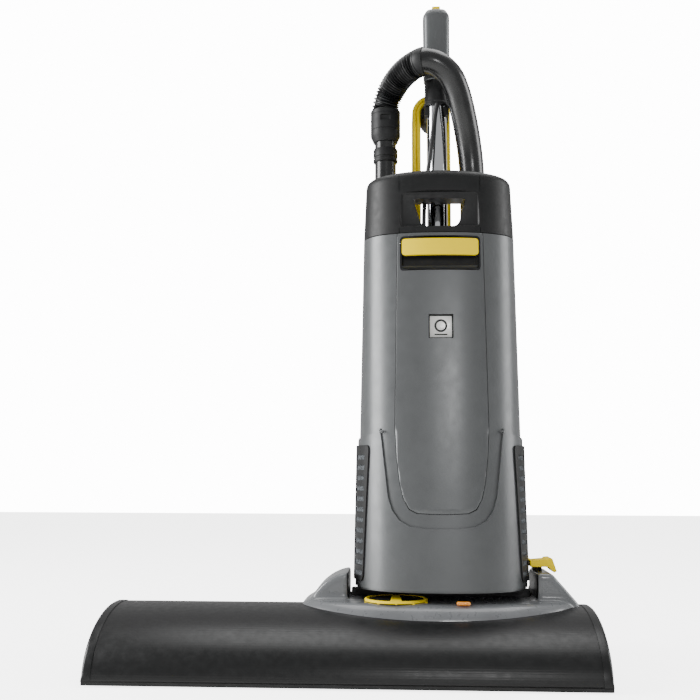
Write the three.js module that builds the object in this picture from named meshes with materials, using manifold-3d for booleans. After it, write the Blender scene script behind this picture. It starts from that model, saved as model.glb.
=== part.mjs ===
// Wide upright vacuum cleaner: a 690 mm head on wheels, a tilting bag body,
// a straight handle with a cord hank, and a stowed wand with its hose.
// Millimetres. X to the right, Y to the back, Z up, floor at Z = 0.
import * as THREE from "three";
import { mergeVertices } from "three/addons/utils/BufferGeometryUtils.js";
import Module from "manifold-3d";

const wasm = await Module();
wasm.setup();

// ---- driving dimensions ------------------------------------------------
const GAP = 0.3; // clearance between pieces that sit against each other
const HEAD_WIDTH = 690;
const HEAD_FRONT = -175; // y of the lip
const HEAD_CROWN = -28; // y of the highest line of the head cover
const HEAD_HEIGHT = 92;
const LIP_HEIGHT = 8;
const WALL = 3;

const BODY_X = 133; // the body stands to the right of the middle
const BODY_SIDE = 12; // y of the widest line
const BODY_BACK = 22;
const BODY_BOTTOM = 114;
const BODY_SEAM = 634; // body shell below, top cover above
const BODY_TOP = 727;
const BODY_HALF = [124, 115, 111]; // half width at bottom, seam and top
const BODY_FRONT = [98, 66, 58]; // bulge ahead of the widest line
const PROUD = 2.6; // how far the lower shell stands out

const DOOR_HALF_TOP = 63;
const DOOR_CLEAR = 0.5;
const POCKET = { half: 59.5, low: 576, high: 629 };
const LATCH = { half: 56.5, low: 600, high: 625 };

const PIVOT = { y: 50, z: 95, r: 6 };
const AXLE = { y: 120, z: 55, r: 5 };
const WHEEL = { r: 55, hub: 42, width: 28, left: -26, right: 292 };
const CHEEK = { left: -2, right: 268, back: 62, top: 137 };

const BRUSH = { y: -104, z: 28, r: 28, core: 13, pulley: 16 };
const MOTOR = { y: -16, z: 58, r: 20, pulley: 9 };
const BELT = { x: -316, width: 8, thick: 2 };

const DUCT_R = 13.5;
const DUCT_Z = 49;
const DIAL = { x: 67, y: -45, r: 45, rim: 5, z: 99 };
const TUBE = { x: 133, y: 42, r: 16, low: 300, high: 935 };
const GRIP_TOP = 1026;
const WAND = { x: 51, y: 56, r: 17, low: 246, high: 836 };
const HOSE_R = 22;
const PIPE = { x: 189, y: 46, r: 20 };
const CORD_R = 3.5;
const HANK = { x: 125, half: 31, band: 14, front: 66, back: 116, low: 560, high: 893 };

// ---- solids ------------------------------------------------------------
function solid(geometry) {
  const bare = new THREE.BufferGeometry();
  bare.setAttribute("position", geometry.getAttribute("position").clone());
  if (geometry.index) bare.setIndex(geometry.index.clone());
  const merged = mergeVertices(bare, 1e-4);
  const p = merged.getAttribute("position");
  const index = merged.index.array;
  const triangles = [];
  let volume = 0;
  for (let i = 0; i < index.length; i += 3) {
    const [a, b, c] = [index[i], index[i + 1], index[i + 2]];
    if (a === b || b === c || a === c) continue;
    triangles.push([a, b, c]);
    const va = new THREE.Vector3().fromBufferAttribute(p, a);
    const vb = new THREE.Vector3().fromBufferAttribute(p, b);
    const vc = new THREE.Vector3().fromBufferAttribute(p, c);
    volume += va.dot(vb.cross(vc));
  }
  const faces = volume < 0 ? triangles.map(([a, b, c]) => [a, c, b]) : triangles;
  return new wasm.Manifold(
    new wasm.Mesh({
      numProp: 3,
      vertProperties: new Float32Array(p.array),
      triVerts: new Uint32Array(faces.flat()),
    }),
  );
}

function join(...parts) {
  return parts.reduce((a, b) => a.add(b));
}

function cut(body, ...tools) {
  return tools.reduce((a, b) => a.subtract(b), body);
}

function box(x0, x1, y0, y1, z0, z1) {
  const g = new THREE.BoxGeometry(x1 - x0, y1 - y0, z1 - z0);
  g.translate((x0 + x1) / 2, (y0 + y1) / 2, (z0 + z1) / 2);
  return solid(g);
}

function extruded(points, from, to) {
  const shape = new THREE.Shape(points.map(([a, b]) => new THREE.Vector2(a, b)));
  const g = new THREE.ExtrudeGeometry(shape, { depth: to - from, bevelEnabled: false });
  g.translate(0, 0, from);
  return g;
}

function prismZ(points, z0, z1) {
  return solid(extruded(points, z0, z1));
}

// points are (y, z)
function prismX(points, x0, x1) {
  const g = extruded(points, x0, x1);
  const [x, y, z] = [
    new THREE.Vector3(1, 0, 0),
    new THREE.Vector3(0, 1, 0),
    new THREE.Vector3(0, 0, 1),
  ];
  g.applyMatrix4(new THREE.Matrix4().makeBasis(y, z, x));
  return solid(g);
}

// points are (x, z)
function prismY(points, y0, y1) {
  const g = extruded(points, -y1, -y0);
  g.rotateX(Math.PI / 2);
  return solid(g);
}

// profile is (radius, height) about the given axis through the given centre
function turned(profile, sides, axis, centre) {
  const points = profile.map(([r, h]) => new THREE.Vector2(r, h));
  const g = new THREE.LatheGeometry(points, sides);
  if (axis === "z") g.rotateX(Math.PI / 2);
  if (axis === "x") g.rotateZ(-Math.PI / 2);
  g.translate(...centre);
  return solid(g);
}

function rod(r, from, to, sides, axis, centre) {
  return turned([[0, from], [r, from], [r, to], [0, to]], sides, axis, centre);
}

function sleeve(inner, outer, from, to, sides, axis, centre) {
  const profile = [[inner, from], [outer, from], [outer, to], [inner, to], [inner, from]];
  return turned(profile, sides, axis, centre);
}

function tube(points, r, sides, steps) {
  const circle = [];
  for (let i = 0; i < sides; i += 1) {
    const a = (2 * Math.PI * i) / sides;
    circle.push(new THREE.Vector2(r * Math.cos(a), r * Math.sin(a)));
  }
  const path = new THREE.CatmullRomCurve3(points.map((p) => new THREE.Vector3(...p)));
  const options = { steps, extrudePath: path, bevelEnabled: false };
  return solid(new THREE.ExtrudeGeometry(new THREE.Shape(circle), options));
}

// rings are lists of [x, y, z] of the same length, lowest first
function loft(rings) {
  const n = rings[0].length;
  const index = [];
  for (let k = 0; k + 1 < rings.length; k += 1) {
    for (let i = 0; i < n; i += 1) {
      const j = (i + 1) % n;
      const [a, b] = [k * n + i, k * n + j];
      index.push(a, b, b + n, a, b + n, a + n);
    }
  }
  const top = (rings.length - 1) * n;
  for (let i = 1; i + 1 < n; i += 1) {
    index.push(0, i + 1, i, top, top + i, top + i + 1);
  }
  const g = new THREE.BufferGeometry();
  g.setAttribute("position", new THREE.Float32BufferAttribute(rings.flat(2), 3));
  g.setIndex(index);
  return solid(g);
}

function between(z, values) {
  const stops = [BODY_BOTTOM, BODY_SEAM, BODY_TOP];
  const k = z < BODY_SEAM ? 0 : 1;
  const t = (z - stops[k]) / (stops[k + 1] - stops[k]);
  return values[k] + t * (values[k + 1] - values[k]);
}

// plan outline of the body at height z, moved in by inset
function bodyRing(z, inset) {
  const half = between(z, BODY_HALF) - inset;
  const front = between(z, BODY_FRONT) - inset;
  const back = BODY_BACK - inset;
  const ring = [];
  const steps = 22;
  for (let i = 0; i <= steps; i += 1) {
    const a = Math.PI + (Math.PI * i) / steps;
    const [c, s] = [Math.cos(a), Math.sin(a)];
    const x = Math.sign(c) * Math.abs(c) ** (2 / 2.3);
    const y = -(Math.abs(s) ** (2 / 2.3));
    ring.push([BODY_X + half * x, BODY_SIDE + front * y, z]);
  }
  ring.push([BODY_X + half, back - 4, z], [BODY_X + half - 4, back, z]);
  ring.push([BODY_X - half + 4, back, z], [BODY_X - half, back - 4, z]);
  return ring;
}

function bodySolid(z0, z1, inset, middle = []) {
  return loft([z0, ...middle, z1].map((z) => bodyRing(z, inset)));
}

// ---- scene -------------------------------------------------------------
const model = new THREE.Group();
model.name = "upright_vacuum_cleaner";

const MATERIALS = {
  grey: ["#8d8f90", 0.45, 0],
  black: ["#2e2f31", 0.5, 0],
  yellow: ["#fbea00", 0.4, 0],
  chrome: ["#c9ccd0", 0.12, 1],
  steel: ["#a4a7aa", 0.35, 1],
  rubber: ["#1c1c1d", 0.85, 0],
  white: ["#eeeeec", 0.4, 0],
  orange: ["#e08a2e", 0.25, 0],
  paper: ["#d8cdb4", 0.9, 0],
  bristle: ["#3a3a3c", 0.9, 0],
};

function node(name, body, kind) {
  const mesh = body.getMesh();
  const g = new THREE.BufferGeometry();
  const position = new THREE.BufferAttribute(new Float32Array(mesh.vertProperties), 3);
  g.setAttribute("position", position);
  g.setIndex([...mesh.triVerts]);
  const [color, roughness, metalness] = MATERIALS[kind];
  const material = new THREE.MeshStandardMaterial({ color, roughness, metalness });
  const out = new THREE.Mesh(g, material);
  out.name = name;
  model.add(out);
}

// ---- head --------------------------------------------------------------
function headOutline(inset) {
  const depth = HEAD_CROWN - HEAD_FRONT - inset;
  const height = HEAD_HEIGHT - LIP_HEIGHT - inset;
  const points = [];
  const steps = 12;
  for (let i = 0; i <= steps; i += 1) {
    const a = (Math.PI / 2) * (i / steps);
    points.push([HEAD_CROWN - depth * Math.cos(a), LIP_HEIGHT + height * Math.sin(a)]);
  }
  points.push([5 - inset, HEAD_HEIGHT - 2 - inset], [16 - inset, 72 - inset]);
  points.push([56, 66 - inset], [56, LIP_HEIGHT]);
  return points;
}

const half = HEAD_WIDTH / 2;
const headBlock = prismX(headOutline(0), -half, half);
const room = headOutline(WALL);
room.splice(-2, 2, [60, 63], [60, 0], [HEAD_FRONT + WALL, 0]);
const headRoom = prismX(room, -half + WALL, half - WALL);
const grownHead = prismX(headOutline(-GAP), -half - 1, half + 1);
const ductHole = rod(DUCT_R + 4, 30, 80, 16, "z", [BODY_X, 37.5, 0]);
node("head_cover", cut(headBlock, headRoom, ductHole), "black");

const strip = [[0, 2], [5, 2], [5, 7.7], [0, 7.7]];
const stripOutline = strip.map(([y, z]) => [HEAD_FRONT + y, z]);
node("bumper_strip", prismX(stripOutline, -half, half), "rubber");

const TUNNEL = [
  [-158, 10.4], [-154, 10.4], [-154, 32.8], [-137.5, 52], [-110.5, 64], [-63.5, 67.8],
  [-50, 56], [-50, 10.4], [-46, 10.4], [-46, 58], [-62, 72], [-112, 68], [-140, 55],
  [-158, 34],
];
const frameHalf = half - 12;
const beltSlot = box(BELT.x - 9, BELT.x + 9, -70, -44, 12, 75);
const legs = [-56, 30, 230, 316].map((x) => box(x, x + 6, 64, 134, 30, 66));
const axleHole = rod(AXLE.r + GAP, -80, 340, 16, "x", [0, AXLE.y, AXLE.z]);
const wheelRooms = [WHEEL.left, WHEEL.right].map((x) => {
  const w = WHEEL.width / 2 + 3;
  return rod(WHEEL.r + 5, x - w, x + w, 24, "x", [0, AXLE.y, AXLE.z]);
});
const floorPlate = box(-56, 322, -48, 80, 30, 34);
const endWalls = [-1, 1].map((s) => {
  const x = s * (frameHalf - 2);
  const wall = box(x - 2, x + 2, -157, -48, 10.4, 50);
  return cut(wall, rod(6 + GAP, x - 9, x + 9, 16, "x", [0, BRUSH.y, BRUSH.z]));
});
const clearFront = prismX([[-160, 34], [-140, 55], [-140, 80], [-160, 80]], -half, half);
const tunnel = prismX(TUNNEL, -frameHalf, frameHalf);
const frame = join(tunnel, floorPlate, ...legs, ...endWalls.map((w) => cut(w, clearFront)));
const ductMouth = rod(DUCT_R + GAP, -60, -40, 16, "y", [BODY_X, 0, DUCT_Z]);
const carriageSlot = box(32, 234, -34, -6, 20, 40);
const frameRooms = [beltSlot, axleHole, ductMouth, carriageSlot, ...wheelRooms];
node("base_frame", cut(frame, ...frameRooms), "black");

const sole = box(-330, 330, -152, -52, 7.6, 10.1);
node("sole_plate", cut(sole, box(-323, 323, -136, -72, 0, 20)), "steel");

// saddle under the body, with a cheek on each side
const SADDLE = { x: 126, half: 203, front: 80, top: DIAL.z };
function saddleRing(z, inset) {
  const ring = [];
  const steps = 20;
  for (let i = 0; i <= steps; i += 1) {
    const a = Math.PI + (Math.PI * i) / steps;
    const x = (SADDLE.half - inset) * Math.cos(a);
    const y = (SADDLE.front - inset) * Math.sin(a);
    ring.push([SADDLE.x + x, HEAD_CROWN + y, z]);
  }
  const right = SADDLE.x + SADDLE.half - inset;
  const left = SADDLE.x - SADDLE.half + inset;
  ring.push([right, CHEEK.back, z], [left, CHEEK.back, z]);
  return ring;
}
const mound = loft([saddleRing(58, 0), saddleRing(81, 0), saddleRing(95, 12),
  saddleRing(SADDLE.top, 19)]);
const leftCheek = [
  [-64, 80], [CHEEK.left, 80], [CHEEK.left, CHEEK.top], [-25, 129], [-41, 119], [-55, 101],
];
const rightCheek = [
  [CHEEK.right, 80], [330, 80], [327, 94], [318, 104], [300, 125], [290, CHEEK.top],
  [CHEEK.right, CHEEK.top],
];
const cheeks = [leftCheek, rightCheek].map((p) => prismY(p, -40, CHEEK.back));
const yokeRoom = box(CHEEK.left, CHEEK.right, 15, 90, 40, 120);
const pivotHole = rod(PIVOT.r + GAP, -12, 278, 16, "x", [0, PIVOT.y, PIVOT.z]);
const dialHole = rod(4.3, 60, 120, 16, "z", [DIAL.x, DIAL.y, 0]);
const saddle = cut(join(mound, ...cheeks), grownHead, yokeRoom, pivotHole, dialHole);
node("base_housing", cut(saddle, ...wheelRooms), "grey");

// ---- brush, belt and motor ---------------------------------------------
const brushAt = [0, BRUSH.y, BRUSH.z];
const core = turned(
  [
    [0, -331], [6, -331], [6, -325], [BRUSH.pulley, -323], [BRUSH.pulley, -309],
    [BRUSH.core, -307], [BRUSH.core, 325], [6, 325], [6, 331], [0, 331],
  ],
  20, "x", brushAt,
);
node("brush_core", core, "steel");

function bristleRing(x, turn) {
  const ring = [];
  const spread = [[0, 1], [0.14, 1], [0.22, 0], [0.6, 0], [1, 0], [1.38, 0]];
  for (let lobe = 0; lobe < 4; lobe += 1) {
    for (const [a, out] of spread) {
      const angle = turn + (lobe * Math.PI) / 2 + a;
      const r = out ? BRUSH.r : BRUSH.core + 2.5;
      ring.push([x, BRUSH.y + r * Math.cos(angle), BRUSH.z + r * Math.sin(angle)]);
    }
  }
  return ring;
}
const bristleRings = [];
for (let k = 0; k <= 12; k += 1) {
  bristleRings.push(bristleRing(-300 + (612 * k) / 12, (Math.PI * k) / 12));
}
const coreRoom = rod(BRUSH.core + GAP, -340, 340, 20, "x", brushAt);
node("brush_bristles", cut(loft(bristleRings), coreRoom), "bristle");

const motorAt = [0, MOTOR.y, MOTOR.z];
const motorProfile = [
  [0, -290], [8, -290], [8, -284], [MOTOR.r, -280], [MOTOR.r, -186], [12, -180], [0, -180],
];
const motorBody = turned(motorProfile, 20, "x", motorAt);
const shaftHole = rod(3 + GAP, -300, -270, 12, "x", motorAt);
node("brush_motor", cut(motorBody, shaftHole), "steel");
const pulley = join(
  rod(3, -324, -272, 12, "x", motorAt),
  rod(MOTOR.pulley, BELT.x - 6, BELT.x + 6, 20, "x", motorAt),
);
node("motor_pulley", pulley, "steel");

function beltPath(grow) {
  const [dy, dz] = [MOTOR.y - BRUSH.y, MOTOR.z - BRUSH.z];
  const [r1, r2] = [BRUSH.pulley + grow, MOTOR.pulley + grow];
  const line = Math.atan2(dz, dy);
  const lean = Math.acos((r1 - r2) / Math.hypot(dy, dz));
  const points = [];
  for (let i = 0; i <= 10; i += 1) {
    const a = line + lean + ((2 * Math.PI - 2 * lean) * i) / 10;
    points.push([BRUSH.y + r1 * Math.cos(a), BRUSH.z + r1 * Math.sin(a)]);
  }
  for (let i = 0; i <= 8; i += 1) {
    const a = line - lean + (2 * lean * i) / 8;
    points.push([MOTOR.y + r2 * Math.cos(a), MOTOR.z + r2 * Math.sin(a)]);
  }
  return points;
}
const beltEdge = [BELT.x - BELT.width / 2, BELT.x + BELT.width / 2];
const beltOut = prismX(beltPath(0.6 + BELT.thick), ...beltEdge);
const beltIn = prismX(beltPath(0.6), beltEdge[0] - 1, beltEdge[1] + 1);
node("drive_belt", cut(beltOut, beltIn), "rubber");

// ---- wheels, front roller and height setting ----------------------------
node("rear_axle", rod(AXLE.r, -60, 326, 16, "x", [0, AXLE.y, AXLE.z]), "steel");
for (const [name, x] of [["left", WHEEL.left], ["right", WHEEL.right]]) {
  const w = WHEEL.width / 2;
  const at = [x, AXLE.y, AXLE.z];
  const bore = AXLE.r + GAP;
  const hub = [
    [bore, -w], [14, -w], [14, -w + 6], [36, -w + 6], [36, -w + 2], [WHEEL.hub, -w + 2],
    [WHEEL.hub, w - 2], [36, w - 2], [36, w - 6], [14, w - 6], [14, w], [bore, w],
    [bore, -w],
  ];
  node(`wheel_${name}`, turned(hub, 24, "x", at), "grey");
  const inner = WHEEL.hub + GAP;
  const tyre = [
    [inner, -w + 2], [WHEEL.r - 4, -w], [WHEEL.r, -w + 5], [WHEEL.r, w - 5],
    [WHEEL.r - 4, w], [inner, w - 2], [inner, -w + 2],
  ];
  node(`tyre_${name}`, turned(tyre, 24, "x", at), "rubber");
}

const ROLLER = { y: -20, z: 12, r: 12, from: 60, to: 206 };
const rollerAt = [0, ROLLER.y, ROLLER.z];
const rollerPin = rod(3, ROLLER.from - 9, ROLLER.to + 9, 12, "x", rollerAt);
const rollerBody = rod(ROLLER.r, ROLLER.from, ROLLER.to, 20, "x", rollerAt);
node("front_roller", join(rollerPin, rollerBody), "rubber");
const arms = [ROLLER.from - 10, ROLLER.to + 4].map((x) => box(x, x + 6, -26, -14, 5, 25));
const endBars = [[34, 56], [210, 232]].map(([a, b]) => box(a, b, -32, -8, 19, 25));
const backBar = box(34, 232, -8, -7, 19, 25);
const rollerHole = rod(3 + GAP, 0, 300, 12, "x", rollerAt);
node("roller_carriage", cut(join(...endBars, backBar, ...arms), rollerHole), "black");

const dialAt = [DIAL.x, DIAL.y, 0];
const ring = sleeve(DIAL.r - DIAL.rim, DIAL.r, DIAL.z + 0.4, DIAL.z + 4, 40, "z", dialAt);
node("height_dial", ring, "yellow");
const faceR = DIAL.r - DIAL.rim - GAP;
const face = turned(
  [[0, 93], [4, 93], [4, DIAL.z + 0.4], [faceR, DIAL.z + 0.4], [faceR, DIAL.z + 2.4],
    [0, DIAL.z + 2.4]],
  40, "z", dialAt,
);
node("dial_face", face, "black");
const pointer = [[-8, -38], [8, -38], [5, 30], [-5, 30]];
const pointerOutline = pointer.map(([x, y]) => [DIAL.x + x, DIAL.y + y]);
node("dial_pointer", prismZ(pointerOutline, DIAL.z + 2.7, DIAL.z + 4.2), "yellow");

node("indicator_lamp", box(150.5, 169.5, -94, -82, DIAL.z + 0.3, DIAL.z + 6), "orange");

// ---- release pedal -------------------------------------------------------
const HINGE = { y: 26, z: 149, r: 3 };
const pedalOutline = [
  [262, 154], [262, 145], [288, 145], [296, 137], [300, 139], [294, 157],
];
const pedalBar = prismY(pedalOutline, -14, 34);
const bracketRoom = box(266, 286, 17, 40, 130, 160);
const pinHole = rod(HINGE.r + GAP, 255, 305, 12, "x", [0, HINGE.y, HINGE.z]);
node("release_pedal", cut(pedalBar, bracketRoom, pinHole), "yellow");
const bracket = box(269, 283, 19, 33, CHEEK.top + GAP, 153);
const bracketPin = rod(HINGE.r, 264, 291, 12, "x", [0, HINGE.y, HINGE.z]);
node("pedal_bracket", join(bracket, bracketPin), "black");

// ---- tilt joint and duct ---------------------------------------------------
const lugs = [0.5, 258].map((x) => box(x, x + 7.5, 22.4, 62, 83, 107));
const stubs = [[-11, 2], [264, 277]].map(([a, b]) => {
  return rod(PIVOT.r, a, b, 16, "x", [0, PIVOT.y, PIVOT.z]);
});
const yokePlate = join(box(0.5, 265.5, 22.4, 27, 97, 110), box(14, 252, 22.4, 27, 109, 160));
const inlet = [BODY_X, 0, 134];
const plateHole = rod(DUCT_R + 1, 15, 40, 16, "y", inlet);
node("tilt_yoke", cut(join(yokePlate, ...lugs, ...stubs), plateHole), "steel");

const ductPath = [[-45, DUCT_Z], [0, DUCT_Z], [20, DUCT_Z + 3], [36, 66], [42, 85],
  [42, 112], [40, 125], [35, 132.5], [31.5, 134], [28.3, 134]];
const ductCurve = ductPath.map(([y, z]) => [BODY_X, y, z]);
node("transfer_hose", tube(ductCurve, DUCT_R - GAP, 10, 16), "rubber");

// ---- body ------------------------------------------------------------------
const front = -130;
function doorOutline(grow) {
  const sides = [
    [DOOR_HALF_TOP, BODY_SEAM - 0.4], [67, 345], [60.5, 269], [51, 235], [34, 223],
  ];
  const right = sides.map(([x, z]) => [BODY_X + x + grow, z - grow]);
  right[0][1] = BODY_SEAM - 0.4 + grow;
  const left = [...right].reverse().map(([x, z]) => [2 * BODY_X - x, z]);
  return [...left, ...right];
}
const bodyWall = cut(
  bodySolid(BODY_BOTTOM, BODY_SEAM - GAP, 0),
  bodySolid(BODY_BOTTOM - 1, BODY_SEAM, WALL),
);
const doorRoom = prismY(doorOutline(DOOR_CLEAR), front, 0);
const ductInlet = rod(DUCT_R, 0, 40, 16, "y", inlet);
const portHole = rod(PIPE.r + 1, 0, 40, 16, "y", [PIPE.x, 0, 538]);
node("body_shell", cut(bodyWall, doorRoom, portHole, ductInlet), "grey");
const floorSolid = bodySolid(BODY_BOTTOM + 1, BODY_BOTTOM + 4, WALL + GAP);
node("body_floor", floorSolid, "black");

const U_BAND = [
  [87, 400], [86, 336], [79, 269], [72, 230], [63, 215], [43, 202],
];
const bandRight = U_BAND.map(([x, z]) => [BODY_X + x, z]);
const bandLeft = [...bandRight].reverse().map(([x, z]) => [2 * BODY_X - x, z]);
const bandRoom = prismY([...bandLeft, ...bandRight], front, 0);
const apron = cut(
  bodySolid(BODY_BOTTOM + 2, 345, -PROUD),
  bodySolid(BODY_BOTTOM, 350, -2 * GAP),
);
const shoulder = [[10, 328], [-60, 340], [front, 350], [front, 420], [40, 420], [40, 328]];
const shoulderCut = prismX(shoulder, -100, 400);
const backCut = box(-100, 400, 10, 60, 0, 500);
node("lower_shell", cut(apron, shoulderCut, backCut, bandRoom), "grey");

const grilleBand = cut(
  bodySolid(126, 320, -PROUD - GAP - 1.6),
  bodySolid(120, 330, -PROUD - GAP),
);
const slots = [];
for (let k = 0; k < 12; k += 1) {
  slots.push(box(-60, 330, -36, 3, 133 + 15.1 * k, 140 + 15.1 * k));
}
const slotted = cut(grilleBand, join(...slots));
node("grille_left", slotted.intersect(box(-60, 80, -40, 7, 100, 340)), "black");
node("grille_right", slotted.intersect(box(180, 330, -40, 7, 100, 340)), "black");

// ---- door, pocket, latch and badge ------------------------------------------
const pocketRoom = box(
  BODY_X - POCKET.half, BODY_X + POCKET.half, front, 0, POCKET.low, POCKET.high,
);
const doorSkin = cut(
  bodySolid(150, BODY_SEAM - GAP, 0),
  bodySolid(140, BODY_SEAM, WALL),
);
const badgeY = BODY_SIDE - between(492, BODY_FRONT) + 1.4;
const badgeRoom = box(BODY_X - 19, BODY_X + 19, front, badgeY, 474, 510);
const doorShape = prismY(doorOutline(0), front, 0);
node("door_panel", cut(doorSkin.intersect(doorShape), pocketRoom, badgeRoom), "grey");
const p = { x0: BODY_X - POCKET.half + GAP, x1: BODY_X + POCKET.half - GAP };
const [low, high] = [POCKET.low + GAP, POCKET.high - GAP];
const tray = cut(
  box(p.x0, p.x1, -47, -32, low, high),
  box(p.x0 + 2, p.x1 - 2, -60, -34, low + 2, high - 2),
);
node("latch_pocket", tray, "black");
const latchSkin = cut(bodySolid(590, 633, -0.5), bodySolid(580, 634, 6));
const latchShape = box(
  BODY_X - LATCH.half, BODY_X + LATCH.half, front, 0, LATCH.low, LATCH.high,
);
node("door_latch", latchSkin.intersect(latchShape), "yellow");
const badge = box(BODY_X - 17.7, BODY_X + 17.7, badgeY - 2.6, badgeY - GAP, 475, 509);
node("badge_plate", badge, "white");

// ---- top cover --------------------------------------------------------------
const coverOut = loft([
  bodyRing(BODY_SEAM, 0), bodyRing(BODY_TOP - 10, 0), bodyRing(BODY_TOP - 3, 4),
  bodyRing(BODY_TOP, 12),
]);
const coverIn = bodySolid(BODY_SEAM - 1, BODY_TOP - WALL - 3, WALL + 2);
const gripBlock = box(BODY_X - 40, BODY_X + 40, -80, 40, 640, 699).intersect(coverOut);
const gripHole = box(BODY_X - 36, BODY_X + 36, -90, 50, 645, 688);
const gripFace = box(BODY_X - 60, BODY_X + 60, -90, -42, 643, 699);
const gripWall = box(BODY_X - 62, BODY_X + 62, -42, -38, 640, 702);
const coverShell = join(cut(coverOut, coverIn), gripBlock, gripWall);
node("top_cover", cut(coverShell, gripFace, gripHole), "black");

// ---- inside the body -----------------------------------------------------------
function padRing(z, halfX, halfY) {
  const ring = [];
  for (let i = 0; i < 20; i += 1) {
    const a = (2 * Math.PI * i) / 20;
    const [c, s] = [Math.cos(a), Math.sin(a)];
    const x = halfX * Math.sign(c) * Math.abs(c) ** 0.6;
    const y = halfY * Math.sign(s) * Math.abs(s) ** 0.6;
    ring.push([BODY_X + x, -16 + y, z]);
  }
  return ring;
}
const bag = loft([
  padRing(292, 44, 14), padRing(300, 56, 21), padRing(420, 60, 26), padRing(545, 56, 21),
  padRing(553, 44, 14),
]);
node("filter_bag", bag, "paper");
const fanAt = [BODY_X, -32, 0];
const fan = [
  [0, 122], [30, 122], [34, 130], [34, 160], [44, 166], [46, 196], [30, 204], [0, 204],
];
node("suction_motor", turned(fan, 28, "z", fanAt), "steel");
node("motor_filter", rod(40, 212, 222, 28, "z", fanAt), "white");
const shelf = bodySolid(226, 229, WALL + 2 * GAP).intersect(box(0, 300, -55, 40, 200, 240));
node("bag_shelf", shelf, "black");

// ---- handle --------------------------------------------------------------------
const tubeAt = [TUBE.x, TUBE.y, 0];
const chrome = sleeve(TUBE.r - 1.5, TUBE.r, TUBE.low, TUBE.high, 24, "z", tubeAt);
node("handle_tube", chrome, "chrome");
const fit = TUBE.r + GAP;
const socket = [
  [fit, 861], [20.5, 861], [20.5, 866], [19, 868], [19, 902.7], [fit, 902.7], [fit, 861],
];
node("handle_socket", turned(socket, 24, "z", tubeAt), "black");

function gripRing(z, halfX, halfY, corner) {
  const ring = [];
  for (let i = 0; i < 16; i += 1) {
    const a = (2 * Math.PI * (i + 0.5)) / 16;
    const [c, s] = [Math.cos(a), Math.sin(a)];
    const x = halfX * Math.sign(c) * Math.abs(c) ** corner;
    const y = halfY * Math.sign(s) * Math.abs(s) ** corner;
    ring.push([TUBE.x + x, TUBE.y + y, z]);
  }
  return ring;
}
const gripBody = loft([
  gripRing(903, 20.5, 18.8, 0.7), gripRing(925, 21.5, 18.8, 0.6),
  gripRing(1008, 21.5, 18.8, 0.6), gripRing(1018, 18, 16, 0.6),
  gripRing(GRIP_TOP, 13, 12, 0.6),
]);
const tubeBore = rod(fit, 900, TUBE.high + 1, 24, "z", tubeAt);
const buttonRoom = box(TUBE.x - 6, TUBE.x + 6, TUBE.y - 6, TUBE.y + 6, 1016, 1030);
node("grip", cut(gripBody, tubeBore, buttonRoom), "grey");
const b = 5.5;
node(
  "power_button",
  box(TUBE.x - b, TUBE.x + b, TUBE.y - b, TUBE.y + b, 1019, GRIP_TOP + 5),
  "yellow",
);

// ---- brackets and hooks behind the body ---------------------------------------
const back = BODY_BACK + 0.4;
const tubeHole = rod(fit, 250, 900, 24, "z", tubeAt);
const wandHole = rod(WAND.r + 0.5, 200, 850, 24, "z", [WAND.x, WAND.y, 0]);
const pipeHole = rod(PIPE.r + GAP, 560, 650, 24, "z", [PIPE.x, PIPE.y, 0]);
const clampBlock = box(28, 215, back, 62, 590, 606);
const clampTop = cut(clampBlock, tubeHole, wandHole, pipeHole);
node("tube_bracket", cut(clampTop, box(46, 56, 60, 90, 580, 620)), "black");
const footBlock = join(
  box(TUBE.x - 24, TUBE.x + 24, back, 62, 302, 320),
  box(WAND.x - 24, TUBE.x - 20, back, 30, 302, 320),
  box(WAND.x - 24, WAND.x + 24, back, 80, 236, 300),
  box(WAND.x - 24, WAND.x + 24, back, 30, 290, 320),
);
const cup = rod(WAND.r + 0.5, 245.4, 340, 24, "z", [WAND.x, WAND.y, 0]);
node("wand_rest", cut(footBlock, tubeHole, cup), "black");

const hookX = [HANK.x - 12, HANK.x + 12];
const pegR = HANK.half - HANK.band - 2 * GAP;
const pegTop = HANK.high - HANK.half;
const pegLow = HANK.low + HANK.half;
const upperHook = join(
  box(TUBE.x - 19, TUBE.x + 19, 30, 65.5, 845, 859),
  box(...hookX, 63.5, 65.5, 845, 870),
  rod(pegR, 63.5, HANK.back + 6, 20, "y", [HANK.x, 0, pegTop]),
  box(...hookX, HANK.back + 1, HANK.back + 6, pegTop, 902),
);
node("cord_hook_upper", cut(upperHook, tubeHole), "black");
const lowerHook = join(
  box(TUBE.x - 22, TUBE.x + 22, back, 65.5, 560, 584),
  rod(pegR, 63.5, HANK.back + 6, 20, "y", [HANK.x, 0, pegLow]),
  box(...hookX, 63.5, 65.5, 575, pegLow),
  box(...hookX, HANK.back + 1, HANK.back + 6, 552, pegLow),
);
node("cord_hook_lower", cut(lowerHook, tubeHole), "black");

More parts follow.
